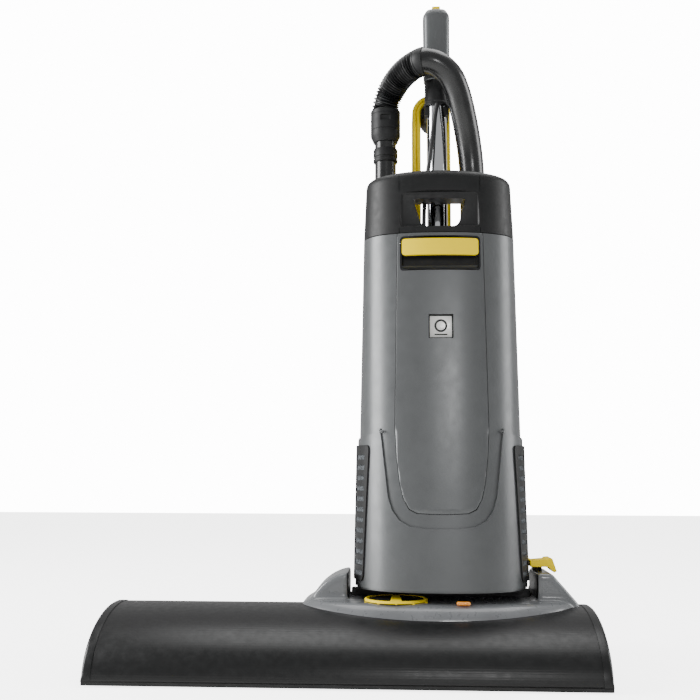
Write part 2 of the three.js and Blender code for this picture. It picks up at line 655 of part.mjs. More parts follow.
// ---- cords ------------------------------------------------------------------------
function hankOutline(inset) {
  const r = HANK.half - inset;
  const points = [];
  for (const [z, start] of [[HANK.high - HANK.half, 0], [HANK.low + HANK.half, Math.PI]]) {
    for (let i = 0; i <= 10; i += 1) {
      const a = start + (Math.PI * i) / 10;
      points.push([HANK.x + r * Math.cos(a), z + r * Math.sin(a)]);
    }
  }
  return points;
}
const hank = cut(
  prismY(hankOutline(0), HANK.front, HANK.back),
  prismY(hankOutline(HANK.band), HANK.front - 5, HANK.back + 5),
);
node("cord_hank", hank, "yellow");
node("cord_gland", rod(7, 0, 16, 16, "z", [0, 0, 0]).rotate([-90, 0, 0])
  .translate([88, back, 545]), "black");
const lead = [
  [88, back + 17, 545], [88, 52, 545], [88, 66, 541], [88, 77, 531], [88, 80, 517],
  [92, 82, 503], [102, 85, 493], [116.7, 89, 488.5], [131, 93, 493], [141.5, 97, 503],
  [147, 100.5, 517], [150.5, 103, 535], [152.3, 104.3, 553], [152.5, 104.5, 570]];
node("cord_lead", tube(lead, CORD_R, 8, 24), "yellow");
const tail = [[97.5, 111, 569], [97.5, 111, 540], [98, 111, 505], [98, 111, 472]];
node("cord_tail", tube(tail, CORD_R, 8, 6), "yellow");
const plugBody = box(84, 112, 101, 121, 432, 471.4);
const blades = [[89, 91.5], [104.5, 107]].map(([a, b]) => box(a, b, 104, 111, 414, 433));
const earth = rod(2.4, 411, 433, 10, "z", [98, 116, 0]);
node("mains_plug", join(plugBody, ...blades, earth), "black");
const cable = [[133, 20.5, 860], [128, 20.5, 830], [122, 20, 780], [116, 24, 735],
  [112, 28, 690], [111.5, 32, 640], [111.5, 33, 607]];
node("switch_cable", tube(cable, CORD_R, 8, 20), "black");

// ---- wand, hose and pipe --------------------------------------------------------------
const wandAt = [WAND.x, WAND.y, 0];
node("wand_tube", sleeve(WAND.r - 2, WAND.r, WAND.low, WAND.high, 24, "z", wandAt), "black");
const wandFit = WAND.r + GAP;
const collar = [
  [wandFit, 775], [19.5, 775], [19.5, 797], [wandFit, 797], [wandFit, 775],
];
node("wand_collar", turned(collar, 28, "z", wandAt), "black");
const cuff = [
  [wandFit, 808], [19.5, 808], [24, 818], [24, 861], [wandFit, 861], [wandFit, 808],
];
node("hose_cuff", turned(cuff, 28, "z", wandAt), "black");
const hosePath = [[51, 56, 861.5], [51, 56, 867], [53, 52, 876], [59, 45, 889],
  [69, 33, 902], [83, 17, 912], [98, 2, 917], [104, -3, 918]];
node("suction_hose", tube(hosePath, HOSE_R, 12, 16), "black");
const pipePath = [[104.6, -3.5, 918.1], [110.5, -8.4, 919], [126, -10, 916], [140, -7, 909],
  [154, -1, 896],
  [164, 7, 876], [172, 16, 850], [181, 32, 812], [187, 43, 770], [189, 46, 720],
  [189, 46, 600], [189, 46, 578], [189, 43, 556], [189, 35, 542], [189, 30, 538],
  [189, 26, 538]];
node("bent_pipe", tube(pipePath, PIPE.r - GAP, 12, 32), "black");

export default model;
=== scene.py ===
"""Wide upright vacuum cleaner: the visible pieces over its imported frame."""
import math
import random

import bmesh
import bpy
import numpy as np
from mathutils import Matrix, Vector


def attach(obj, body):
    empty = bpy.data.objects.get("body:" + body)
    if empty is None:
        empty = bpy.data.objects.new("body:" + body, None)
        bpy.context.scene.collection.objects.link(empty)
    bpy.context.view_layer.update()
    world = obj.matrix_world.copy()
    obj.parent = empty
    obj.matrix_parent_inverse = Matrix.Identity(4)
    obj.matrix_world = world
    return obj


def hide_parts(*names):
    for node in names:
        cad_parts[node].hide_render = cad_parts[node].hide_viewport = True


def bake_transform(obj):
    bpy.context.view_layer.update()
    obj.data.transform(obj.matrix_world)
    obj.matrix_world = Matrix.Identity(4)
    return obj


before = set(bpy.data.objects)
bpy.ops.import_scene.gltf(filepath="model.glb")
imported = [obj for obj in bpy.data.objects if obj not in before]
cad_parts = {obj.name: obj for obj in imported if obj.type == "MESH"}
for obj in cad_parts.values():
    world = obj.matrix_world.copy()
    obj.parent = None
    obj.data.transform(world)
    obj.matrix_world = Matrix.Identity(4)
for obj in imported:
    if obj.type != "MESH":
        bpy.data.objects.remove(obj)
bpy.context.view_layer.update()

bl_info = {
    "name": "Upright vacuum cleaner",
    "version": (1, 0, 0),
    "blender": (4, 5, 0),
    "location": "3D View > Sidebar > Vacuum",
    "description": "Builds the pieces of a wide upright vacuum cleaner",
    "category": "Object",
}

MM = 0.001

# Places in the shared frame, in millimetres.
BODY_X, BODY_SIDE, BODY_BACK = 133.0, 12.0, 22.0
BODY_STOPS = (114.0, 634.0, 727.0)
BODY_HALF = (124.0, 115.0, 111.0)
BODY_FRONT = (98.0, 66.0, 58.0)
BODY_POWER = 2.3
TUBE = (133.0, 42.0)
WAND = (51.0, 56.0)
PROUD = 2.6  # how far the lower shell stands off the body
BADGE_Y = BODY_SIDE - 67.8  # face of the recess behind the badge at mid height
DIAL = (67.0, -45.0, 0.0)
WHEEL_X = (-26.0, 292.0)
AXLE = (120.0, 55.0)
CORD_D = 7.0


# ---- materials ---------------------------------------------------------------
def linear(hex_colour):
    """An sRGB hex colour as linear RGBA; a linear one stays as it is."""
    if not isinstance(hex_colour, str):
        return tuple(hex_colour)
    out = []
    for i in (1, 3, 5):
        c = int(hex_colour[i:i + 2], 16) / 255
        out.append(c / 12.92 if c <= 0.04045 else ((c + 0.055) / 1.055) ** 2.4)
    return (*out, 1.0)


def add(tree, kind, settings=None, **inputs):
    """Adds a node; an input given as (node, output) is linked, any other is set."""
    node = tree.nodes.new(kind)
    for key, value in (settings or {}).items():
        setattr(node, key, value)
    for key, value in inputs.items():
        name = int(key[1:]) if key[0] == "i" and key[1:].isdigit() else key.replace("_", " ")
        socket = node.inputs[name]
        if isinstance(value, tuple) and isinstance(value[0], bpy.types.Node):
            tree.links.new(value[0].outputs[value[1]], socket)
        else:
            socket.default_value = value
    return node


def darker(colour, share):
    """A linear colour at a share of its brightness."""
    return (*(c * share for c in tuple(colour)[:3]), 1.0)


def shader(name, colour, roughness, metallic=0.0, **extra):
    """A material with a Principled shader and its Object coordinates."""
    mat = bpy.data.materials.new(name)
    mat.use_nodes = True
    tree = mat.node_tree
    tree.nodes.clear()
    bsdf = add(tree, "ShaderNodeBsdfPrincipled", Metallic=metallic, Roughness=roughness)
    bsdf.inputs["Base Color"].default_value = linear(colour)
    for key, value in extra.items():
        bsdf.inputs[key.replace("_", " ")].default_value = value
    add(tree, "ShaderNodeOutputMaterial", Surface=(bsdf, 0))
    where = add(tree, "ShaderNodeTexCoord")
    mat.diffuse_color = linear(colour)
    return mat, tree, bsdf, where


def noise(tree, where, size_mm, detail=3.0, stretch=(1, 1, 1), coord="Object"):
    """Noise whose cells are about size_mm across, longer where stretch is under 1."""
    mapped = add(tree, "ShaderNodeMapping", Vector=(where, coord), Scale=stretch)
    return add(tree, "ShaderNodeTexNoise", Vector=(mapped, 0), Scale=1000 / size_mm,
               Detail=detail)


def spread(tree, source, low, high):
    """A Map Range from the middle of a noise to low..high."""
    return add(tree, "ShaderNodeMapRange", Value=(source, 0), From_Min=0.3,
               From_Max=0.7, To_Min=low, To_Max=high)


def tint(tree, bsdf, factor, first, second):
    """Mixes two colours by a factor into the base colour."""
    mix = add(tree, "ShaderNodeMix", {"data_type": "RGBA"}, i0=(factor, 0))
    mix.inputs[6].default_value = linear(first)
    mix.inputs[7].default_value = linear(second)
    tree.links.new(mix.outputs[2], bsdf.inputs["Base Color"])
    return mix


def bump(tree, bsdf, height, depth_mm, strength=1.0):
    """Bump of depth_mm from a height node."""
    node = add(tree, "ShaderNodeBump", Strength=strength, Distance=depth_mm * MM,
               Height=(height, 0))
    tree.links.new(node.outputs[0], bsdf.inputs["Normal"])
    return node


def moulded(name, low, high, roughness, grain_mm, depth_mm, **extra):
    """Injection-moulded plastic: faint colour drift, etched grain, uneven gloss."""
    mat, tree, bsdf, where = shader(name, high, roughness, **extra)
    drift = noise(tree, where, 60)
    tint(tree, bsdf, spread(tree, drift, 0, 1), low, high)
    scuff = noise(tree, where, 9, detail=6)
    gloss = spread(tree, scuff, roughness - 0.05, roughness + 0.06)
    tree.links.new(gloss.outputs[0], bsdf.inputs["Roughness"])
    bump(tree, bsdf, noise(tree, where, grain_mm, detail=2), depth_mm)
    return mat


def metallic_abs(grey):
    """ABS with aluminium flake: a satin grey that brightens where light grazes it."""
    mat, tree, bsdf, where = shader("metallic_grey_abs", grey, 0.36, 0.35,
                                    Coat_Weight=0.25, Coat_Roughness=0.22)
    flake = add(tree, "ShaderNodeTexVoronoi", Vector=(where, "Object"), Scale=1600.0)
    drift = noise(tree, where, 90)
    level = add(tree, "ShaderNodeMath", {"operation": "MULTIPLY_ADD"}, i0=(flake, 0),
                i1=0.45, i2=(drift, 0))
    tint(tree, bsdf, spread(tree, level, 0, 1), darker(grey, 0.84),
         darker(grey, 1.16))
    gloss = spread(tree, noise(tree, where, 14, detail=5), 0.31, 0.41)
    tree.links.new(gloss.outputs[0], bsdf.inputs["Roughness"])
    bump(tree, bsdf, noise(tree, where, 0.9, detail=2), 0.01)
    return mat


def brushed(name, low, high, roughness, stretch):
    """Rolled or turned steel: fine lines along the way it was worked."""
    mat, tree, bsdf, where = shader(name, high, roughness, 1.0)
    lines = noise(tree, where, 1.2, detail=4, stretch=stretch)
    tint(tree, bsdf, spread(tree, lines, 0, 1), low, high)
    gloss = spread(tree, lines, roughness - 0.06, roughness + 0.08)
    tree.links.new(gloss.outputs[0], bsdf.inputs["Roughness"])
    bump(tree, bsdf, lines, 0.006)
    return mat


def chromed_steel():
    """Chrome plate on tube: a near mirror with faint wipe marks."""
    mat, tree, bsdf, where = shader("chromed_steel", "#d9dbde", 0.07, 1.0)
    wipe = noise(tree, where, 25, detail=5, stretch=(1, 1, 0.15))
    gloss = spread(tree, wipe, 0.05, 0.12)
    tree.links.new(gloss.outputs[0], bsdf.inputs["Roughness"])
    return mat


def vulcanised(name, low, high, roughness=0.78):
    """Carbon-black rubber: dull, with dust in a fine pitted skin."""
    mat, tree, bsdf, where = shader(name, high, roughness)
    dust = noise(tree, where, 18, detail=6)
    tint(tree, bsdf, spread(tree, dust, 0, 1), low, high)
    bump(tree, bsdf, noise(tree, where, 0.7, detail=3), 0.04)
    return mat


def cord_jacket(name, low, high):
    """Extruded PVC jacket: soft sheen, slight waviness from the twisted cores."""
    mat, tree, bsdf, where = shader(name, high, 0.42, Coat_Weight=0.1,
                                    Coat_Roughness=0.35)
    drift = noise(tree, where, 22, detail=3)
    tint(tree, bsdf, spread(tree, drift, 0, 1), low, high)
    bump(tree, bsdf, noise(tree, where, 6, detail=2), 0.12)
    return mat


def dust_bag_fleece():
    """Three-layer fleece of a dust bag: matted fibres over a soft pale ground."""
    mat, tree, bsdf, where = shader("dust_bag_fleece", "#d9d2c0", 0.93,
                                    Sheen_Weight=0.25, Sheen_Roughness=0.5)
    fibre = noise(tree, where, 1.6, detail=8, stretch=(1, 1, 0.35))
    tint(tree, bsdf, spread(tree, fibre, 0, 1), "#c4bca6", "#e2dccb")
    bump(tree, bsdf, fibre, 0.25)
    return mat


def filter_foam():
    """Open-cell polyurethane foam: dark cells about 2 mm across."""
    mat, tree, bsdf, where = shader("filter_foam", "#4a4d50", 0.95)
    cells = add(tree, "ShaderNodeTexVoronoi", Vector=(where, "Object"), Scale=500.0)
    tint(tree, bsdf, spread(tree, cells, 0, 1), "#26282a", "#5a5e62")
    bump(tree, bsdf, cells, 0.5)
    return mat


def lamp_acrylic():
    """Amber acrylic lens: clear coat over a glowing colour, with fine flutes."""
    mat, tree, bsdf, where = shader("amber_acrylic", "#e58a22", 0.16, Coat_Weight=0.6,
                                    Coat_Roughness=0.05, Subsurface_Weight=0.15)
    bsdf.inputs["Emission Color"].default_value = linear("#e07a18")
    bsdf.inputs["Emission Strength"].default_value = 0.12
    flutes = add(tree, "ShaderNodeTexWave", {"bands_direction": "X"},
                 Vector=(where, "Object"), Scale=160.0)
    tint(tree, bsdf, flutes, "#d97f1c", "#f0a040")
    bump(tree, bsdf, flutes, 0.15)
    return mat


def badge_print():
    """Printed polycarbonate badge: a faintly drifting white under gloss."""
    mat, tree, bsdf, where = shader("printed_badge", "#eeeeea", 0.22, Coat_Weight=0.5,
                                    Coat_Roughness=0.08)
    drift = noise(tree, where, 12)
    tint(tree, bsdf, spread(tree, drift, 0, 1), "#e6e6e2", "#f4f4f0")
    return mat


PAPER_GLOW = 4.0  # keeps the paper pale to the camera without lighting the object


def studio_paper():
    """Seamless paper sweep: a pale matt sheet with a faint fibre."""
    mat, tree, bsdf, where = shader("seamless_paper", "#f4f4f3", 0.9)
    bsdf.inputs["Emission Color"].default_value = linear("#ffffff")
    path = add(tree, "ShaderNodeLightPath")
    seen = add(tree, "ShaderNodeMath", {"operation": "MULTIPLY"}, i1=PAPER_GLOW,
               i0=(path, "Is Camera Ray"))
    tree.links.new(seen.outputs[0], bsdf.inputs["Emission Strength"])
    fibre = noise(tree, where, 3, detail=6)
    tint(tree, bsdf, spread(tree, fibre, 0, 1), "#f2f2f1", "#f6f6f5")
    return mat


MAT = {}


class FinishSettings(bpy.types.PropertyGroup):
    """The colours of the mouldings and the cord."""

    grey: bpy.props.FloatVectorProperty(
        name="Body grey", description="Colour of the metallic grey mouldings",
        subtype="COLOR", size=4, min=0, max=1, default=linear("#505253"))
    yellow: bpy.props.FloatVectorProperty(
        name="Trim yellow", description="Colour of the latch, dial, pedal and button",
        subtype="COLOR", size=4, min=0, max=1, default=linear("#ffdf00"))
    black: bpy.props.FloatVectorProperty(
        name="Trim black", description="Colour of the black mouldings",
        subtype="COLOR", size=4, min=0, max=1, default=linear("#0c0d0e"))
    cord: bpy.props.FloatVectorProperty(
        name="Cord yellow", description="Colour of the mains cord's jacket",
        subtype="COLOR", size=4, min=0, max=1, default=linear("#ffe200"))


def make_materials(colours):
    grey, yellow, black = colours.grey, colours.yellow, colours.black
    MAT["grey"] = metallic_abs(grey)
    # Polypropylene with a spark-eroded grain: soft black, grain about 1 mm.
    MAT["black"] = moulded("grained_black_pp", darker(black, 0.75), black, 0.45, 1.1, 0.03,
                           Specular_IOR_Level=0.35)
    # The head cover is smoother and catches long soft highlights.
    MAT["bumper"] = moulded("satin_black_pp", darker(black, 0.5), darker(black, 0.68),
                            0.33, 1.4, 0.008, Specular_IOR_Level=0.45)
    # Glass-filled nylon for the small fittings: darker and duller.
    MAT["nylon"] = moulded("black_glass_nylon", "#0e0f10", "#151617", 0.5, 0.8, 0.02,
                           Specular_IOR_Level=0.35)
    # Blow-moulded pipe: near black with a wet-looking skin.
    MAT["pipe"] = moulded("black_blown_pe", "#08090a", "#0e0f10", 0.27, 3.0, 0.006,
                          Coat_Weight=0.3, Coat_Roughness=0.15)
    MAT["yellow"] = moulded("yellow_abs", darker(yellow, 0.94), yellow, 0.45, 1.2, 0.008,
                            Specular_IOR_Level=0.1)
    MAT["saddle"] = moulded("gloss_grey_abs", "#5d5f61", "#696b6d", 0.3, 6.0, 0.001,
                            Coat_Weight=0.5, Coat_Roughness=0.1)
    MAT["wheel"] = moulded("grey_pp", "#75777a", "#85878a", 0.5, 1.2, 0.03)
    MAT["frame"] = moulded("powder_coated_steel", "#1d1e20", "#292a2c", 0.5, 0.9, 0.05)
    MAT["steel"] = brushed("rolled_zinc_steel", "#8e9194", "#aeb1b4", 0.32, (0.05, 1, 1))
    MAT["chrome"] = chromed_steel()
    MAT["rubber"] = vulcanised("black_rubber", "#161617", "#222223")
    MAT["hose"] = moulded("black_eva_hose", "#08090a", "#101112", 0.34, 1.0, 0.01)
    MAT["cord"] = cord_jacket("yellow_pvc_jacket", darker(colours.cord, 0.9), colours.cord)
    MAT["cable"] = cord_jacket("black_pvc_jacket", "#19191a", "#242425")
    MAT["bristle"] = vulcanised("black_nylon_bristle", "#202022", "#333336", 0.6)
    MAT["bag"] = dust_bag_fleece()
    MAT["foam"] = filter_foam()
    MAT["lamp"] = lamp_acrylic()
    MAT["badge"] = badge_print()
    MAT["paper"] = studio_paper()


# CAD nodes whose own shape stays, with the finish each one gets.
NODE_FINISH = {
    "base_frame": "frame", "brush_core": "steel", "brush_motor": "steel",
    "motor_pulley": "steel", "rear_axle": "steel", "suction_motor": "steel",
    "motor_filter": "foam", "body_floor": "nylon", "bag_shelf": "nylon",
    "drive_belt": "rubber",
}


class VAC_OT_finishes(bpy.types.Operator):
    """Makes the finishes and gives the inner solids theirs."""

    bl_idname = "vacuum.finishes"
    bl_label = "Finishes"

    def execute(self, context):
        make_materials(context.scene.vacuum_finish)
        for node, finish in NODE_FINISH.items():
            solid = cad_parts[node]
            for material_slot in solid.material_slots:
                material_slot.material = MAT[finish]
        return {"FINISHED"}


# ---- meshes -------------------------------------------------------------------
def to_object(bm, name, material, sharp=35.0, closed=True):
    """Writes a bmesh in millimetres as an object in metres, with crisp edges marked."""
    if closed:
        bmesh.ops.recalc_face_normals(bm, faces=bm.faces)
    bmesh.ops.scale(bm, vec=(MM, MM, MM), verts=bm.verts)
    limit = math.radians(sharp)
    for face in bm.faces:
        face.smooth = True
    for edge in bm.edges:
        edge.smooth = not (len(edge.link_faces) == 2 and edge.calc_face_angle() > limit)
    mesh = bpy.data.meshes.new(name)
    bm.to_mesh(mesh)
    bm.free()
    obj = bpy.data.objects.new(name, mesh)
    bpy.context.scene.collection.objects.link(obj)
    mesh.materials.append(MAT[material])
    return obj


def settle(obj):
    """Applies an object's modifiers to its mesh."""
    graph = bpy.context.evaluated_depsgraph_get()
    mesh = bpy.data.meshes.new_from_object(obj.evaluated_get(graph))
    old = obj.data
    obj.modifiers.clear()
    obj.data = mesh
    bpy.data.meshes.remove(old)
    mesh.name = obj.name
    return obj


def boolean(obj, tools, operation="DIFFERENCE"):
    """Cuts or joins other closed pieces and removes them."""
    for tool in tools:
        mod = obj.modifiers.new("boolean", "BOOLEAN")
        mod.operation = operation
        mod.solver = "EXACT"
        mod.object = tool
    settle(obj)
    for tool in tools:
        mesh = tool.data
        bpy.data.objects.remove(tool)
        bpy.data.meshes.remove(mesh)
    return obj


def resharpen(obj, sharp=32.0, merge_mm=0.02):
    """Merges doubles after a cut and marks the crisp edges again."""
    bm = bmesh.new()
    bm.from_mesh(obj.data)
    bmesh.ops.remove_doubles(bm, verts=bm.verts, dist=merge_mm * MM)
    limit = math.radians(sharp)
    for face in bm.faces:
        face.smooth = True
    for edge in bm.edges:
        edge.smooth = not (len(edge.link_faces) == 2 and edge.calc_face_angle() > limit)
    bm.to_mesh(obj.data)
    bm.free()
    return obj


def round_edges(obj, width_mm, segments=2, angle=32.0):
    mod = obj.modifiers.new("edges", "BEVEL")
    mod.width = width_mm * MM
    mod.segments = segments
    mod.limit_method = "ANGLE"
    mod.angle_limit = math.radians(angle)
    mod.harden_normals = True
    return obj


def place(obj, body, slot, *nodes):
    """Rides a piece on its body and hides the solids it stands for."""
    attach(obj, body)
    if nodes:
        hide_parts(*nodes)
    return obj


def block(x0, x1, y0, y1, z0, z1, radius=0.0, segments=3, bm=None):
    """A box with rounded edges, in millimetres."""
    bm = bm or bmesh.new()
    size = (x1 - x0, y1 - y0, z1 - z0)
    middle = ((x0 + x1) / 2, (y0 + y1) / 2, (z0 + z1) / 2)
    matrix = Matrix.Translation(middle) @ Matrix.Diagonal((*size, 1))
    made = bmesh.ops.create_cube(bm, size=1.0, matrix=matrix)
    if radius:
        edges = list({e for v in made["verts"] for e in v.link_edges})
        bmesh.ops.bevel(bm, geom=edges, offset=radius, segments=segments,
                        affect="EDGES", profile=0.5, material=-1)
    return bm


def slab(outline, lift, axis="y", start=0.0, bm=None):
    """A flat outline raised by lift along an axis; outline is in the other two."""
    bm = bm or bmesh.new()
    spots = {
        "x": lambda a, b: (start, a, b),
        "y": lambda a, b: (a, start, b),
        "z": lambda a, b: (a, b, start),
    }[axis]
    verts = [bm.verts.new(spots(a, b)) for a, b in outline]
    face = bm.faces.new(verts)
    moved = bmesh.ops.extrude_face_region(bm, geom=[face])
    new = [g for g in moved["geom"] if isinstance(g, bmesh.types.BMVert)]
    step = {"x": (lift, 0, 0), "y": (0, lift, 0), "z": (0, 0, lift)}[axis]
    bmesh.ops.translate(bm, vec=step, verts=new)
    return bm


def turned(profile, axis, centre, steps=48, bm=None):
    """A profile of (radius, height) spun about an axis through a centre."""
    bm = bm or bmesh.new()
    verts = [bm.verts.new((max(r, 0.0), 0, h)) for r, h in profile]
    edges = [bm.edges.new(pair) for pair in zip(verts, verts[1:])]
    bmesh.ops.spin(bm, geom=verts + edges, cent=(0, 0, 0), axis=(0, 0, 1),
                   angle=math.tau, steps=steps, use_merge=True, use_duplicate=False)
    new = [v for v in bm.verts]
    bmesh.ops.remove_doubles(bm, verts=new, dist=0.001)
    turn = {"z": Matrix.Identity(4), "x": Matrix.Rotation(math.pi / 2, 4, "Y"),
            "y": Matrix.Rotation(-math.pi / 2, 4, "X")}[axis]
    bmesh.ops.transform(bm, matrix=Matrix.Translation(centre) @ turn, verts=bm.verts)
    return bm


def merged(*parts):
    """Several bmeshes as one."""
    whole = bmesh.new()
    for part in parts:
        mesh = bpy.data.meshes.new("part")
        part.to_mesh(mesh)
        part.free()
        whole.from_mesh(mesh)
        bpy.data.meshes.remove(mesh)
    return whole


def smooth_path(points, step=4.0):
    """A centripetal curve through points, as evenly spaced points."""
    pts = [Vector(p) for p in points]
    pts = [pts[0] * 2 - pts[1], *pts, pts[-1] * 2 - pts[-2]]
    fine = []
    for p0, p1, p2, p3 in zip(pts, pts[1:], pts[2:], pts[3:]):
        t1 = (p1 - p0).length ** 0.5
        t2 = t1 + (p2 - p1).length ** 0.5
        t3 = t2 + (p3 - p2).length ** 0.5
        for k in range(16):
            t = t1 + (t2 - t1) * k / 16
            a1 = p0 * ((t1 - t) / t1) + p1 * (t / t1)
            a2 = p1 * ((t2 - t) / (t2 - t1)) + p2 * ((t - t1) / (t2 - t1))
            a3 = p2 * ((t3 - t) / (t3 - t2)) + p3 * ((t - t2) / (t3 - t2))
            b1 = a1 * ((t2 - t) / t2) + a2 * (t / t2)
            b2 = a2 * ((t3 - t) / (t3 - t1)) + a3 * ((t - t1) / (t3 - t1))
            fine.append(b1 * ((t2 - t) / (t2 - t1)) + b2 * ((t - t1) / (t2 - t1)))
    fine.append(pts[-2])
    return even(fine, step)


def even(points, step):
    """The same line with points about step apart."""
    co = np.array([tuple(p) for p in points], float)
    run = np.concatenate(([0], np.cumsum(np.linalg.norm(np.diff(co, axis=0), axis=1))))
    count = max(2, int(round(run[-1] / step)) + 1)
    at = np.linspace(0, run[-1], count)
    return [Vector([np.interp(s, run, co[:, k]) for k in range(3)]) for s in at]


def frames(path):
    """A turning matrix for each point of a path that doesn't twist."""
    out = []
    side = None
    for i, p in enumerate(path):
        along = (path[min(i + 1, len(path) - 1)] - path[max(i - 1, 0)]).normalized()
        if side is None:
            side = along.orthogonal().normalized()
        side = (side - along * side.dot(along)).normalized()
        up = along.cross(side)
        turn = Matrix((side, up, along)).transposed().to_4x4()
        out.append(Matrix.Translation(p) @ turn)
    return out


def swept(path, radii, sides=32, capped=True, bm=None):
    """A round section carried along a path, with a radius for each point."""
    bm = bm or bmesh.new()
    places = frames(path)
    made = bmesh.ops.create_circle(bm, segments=sides, radius=radii[0],
                                   matrix=places[0])
    edges = list({e for v in made["verts"] for e in v.link_edges})
    first = edges
    for k in range(1, len(places)):
        moved = bmesh.ops.extrude_edge_only(bm, edges=edges)["geom"]
        new = [g for g in moved if isinstance(g, bmesh.types.BMVert)]
        edges = [g for g in moved if isinstance(g, bmesh.types.BMEdge)]
        grow = Matrix.Scale(radii[k] / radii[k - 1], 4)
        move = places[k] @ grow @ places[k - 1].inverted()
        bmesh.ops.transform(bm, matrix=move, verts=new)
    if capped:
        bmesh.ops.edgeloop_fill(bm, edges=first)
        bmesh.ops.edgeloop_fill(bm, edges=edges)
    return bm


def loft(rings, capped=True, bm=None):
    """Closed rings of the same count bridged in order."""
    bm = bm or bmesh.new()
    loops = []
    for ring in rings:
        verts = [bm.verts.new(p) for p in ring]
        loops.append([bm.edges.new((a, b)) for a, b in zip(verts, verts[1:] + verts[:1])])
    for a, b in zip(loops, loops[1:]):
        bmesh.ops.bridge_loops(bm, edges=a + b)
    if capped:
        bmesh.ops.edgeloop_fill(bm, edges=loops[0])
        bmesh.ops.edgeloop_fill(bm, edges=loops[-1])
    return bm


# ---- the body's surface ---------------------------------------------------------
def between(z, values):
    """A body size at height z."""
    k = 0 if z < BODY_STOPS[1] else 1
    t = (z - BODY_STOPS[k]) / (BODY_STOPS[k + 1] - BODY_STOPS[k])
    return values[k] + t * (values[k + 1] - values[k])


_OUTLINES = {}


def half_outline(z):
    """Right half of the body's plan at height z: x, y, run and total length."""
    key = round(z * 2)
    if key not in _OUTLINES:
        half, front = between(z, BODY_HALF), between(z, BODY_FRONT)
        a = np.linspace(math.pi / 2, 0, 260)
        x = half * np.clip(np.cos(a), 0, 1) ** (2 / BODY_POWER)
        y = BODY_SIDE - front * np.clip(np.sin(a), 0, 1) ** (2 / BODY_POWER)
        r = 5.0
        b = np.linspace(0, math.pi / 2, 8)
        x = np.concatenate((x, half - r + r * np.cos(b), [0.0]))
        y = np.concatenate((y, BODY_BACK - r + r * np.sin(b), [BODY_BACK]))
        run = np.concatenate(([0], np.cumsum(np.hypot(np.diff(x), np.diff(y)))))
        _OUTLINES[key] = (x, y, run)
    return _OUTLINES[key]


SPAN = 500.0  # panels are drawn with this length for half the way round the body


def wrapped(u, z, out=0.0):
    """A point of the body's surface at way-round u (0 front, +-SPAN back), moved out."""
    x, y, run = half_outline(z)
    s = min(abs(u) / SPAN, 1.0) * run[-1]
    px, py = np.interp(s, run, x), np.interp(s, run, y)
    ahead, behind = min(s + 0.7, run[-1]), max(s - 0.7, 0.0)
    tx = np.interp(ahead, run, x) - np.interp(behind, run, x)
    ty = np.interp(ahead, run, y) - np.interp(behind, run, y)
    if behind == 0.0:
        ty = 0.0
    if ahead == run[-1]:
        ty = 0.0
    size = math.hypot(tx, ty) or 1.0
    nx, ny = ty / size, -tx / size
    side = -1.0 if u < 0 else 1.0
    return Vector((BODY_X + side * (px + nx * out), py + ny * out, z))


def way_round(x, z):
    """The way-round of a point of the front whose distance from the middle is x."""
    px, _, run = half_outline(z)
    front = int(np.argmax(px))
    s = np.interp(abs(x), px[:front + 1], run[:front + 1])
    return math.copysign(s / run[-1] * SPAN, x)


def surface_y(x, z, out=0.0):
    """y of the body's front at offset x from its middle."""
    return wrapped(way_round(x, z), z, out).y


def panel(outline, cuts_u, cuts_z, out=0.0, lower=None):
    """A flat outline in (way-round, z), cut to a grid and laid on the body."""
    bm = bmesh.new()
    bm.faces.new([bm.verts.new((u, 0, z)) for u, z in outline])
    for co, no in [((u, 0, 0), (1, 0, 0)) for u in cuts_u] + \
            [((0, 0, z), (0, 0, 1)) for z in cuts_z]:
        geom = bm.verts[:] + bm.edges[:] + bm.faces[:]
        bmesh.ops.bisect_plane(bm, geom=geom, dist=1e-4, plane_co=co, plane_no=no)
    if lower:
        lower(bm)
    for v in bm.verts:
        v.co = wrapped(v.co.x, v.co.z, out)
    bm.normal_update()
    middle = Vector((BODY_X, -8.0, 0))
    facing = 0.0
    for f in bm.faces:
        away = f.calc_center_median() - middle
        facing += f.normal.x * away.x + f.normal.y * away.y
    if facing < 0:
        bmesh.ops.reverse_faces(bm, faces=bm.faces)
    return bm


def drop_faces(bm, inside):
    """Removes the faces whose middle is inside a region of (way-round, z)."""
    gone = [f for f in bm.faces if inside(f.calc_center_median())]
    bmesh.ops.delete(bm, geom=gone, context="FACES")


def walled(obj, thick_mm, edge_mm=0.6, segments=2):
    """Gives a sheet its thickness inwards, and rounds its rims."""
    mod = obj.modifiers.new("wall", "SOLIDIFY")
    mod.thickness = thick_mm * MM
    mod.offset = -1.0
    mod.use_even_offset = True
    settle(obj)
    resharpen(obj)
    return round_edges(obj, edge_mm, segments, 40)


def sq(value, power=0.7):
    """A sine or cosine squared off, for rounded rectangles."""
    return math.copysign(abs(value) ** power, value)


def turn_angles(count):
    return [math.tau * k / count for k in range(count)]


def steps(low, high, step):
    count = max(1, round((high - low) / step))
    return [low + (high - low) * k / count for k in range(count + 1)]


def rounded_corners(points, radii, count=5):
    """A closed outline with its corners rounded."""
    out = []
    n = len(points)
    for i, (p, r) in enumerate(zip(points, radii)):
        here, last, nxt = Vector(p), Vector(points[i - 1]), Vector(points[(i + 1) % n])
        if r <= 0:
            out.append(tuple(here))
            continue
        a, b = (last - here), (nxt - here)
        cut = min(r, a.length * 0.45, b.length * 0.45)
        start, end = here + a.normalized() * cut, here + b.normalized() * cut
        for k in range(count + 1):
            t = k / count
            q = start * (1 - t) ** 2 + here * 2 * t * (1 - t) + end * t ** 2
            out.append(tuple(q))
    return out


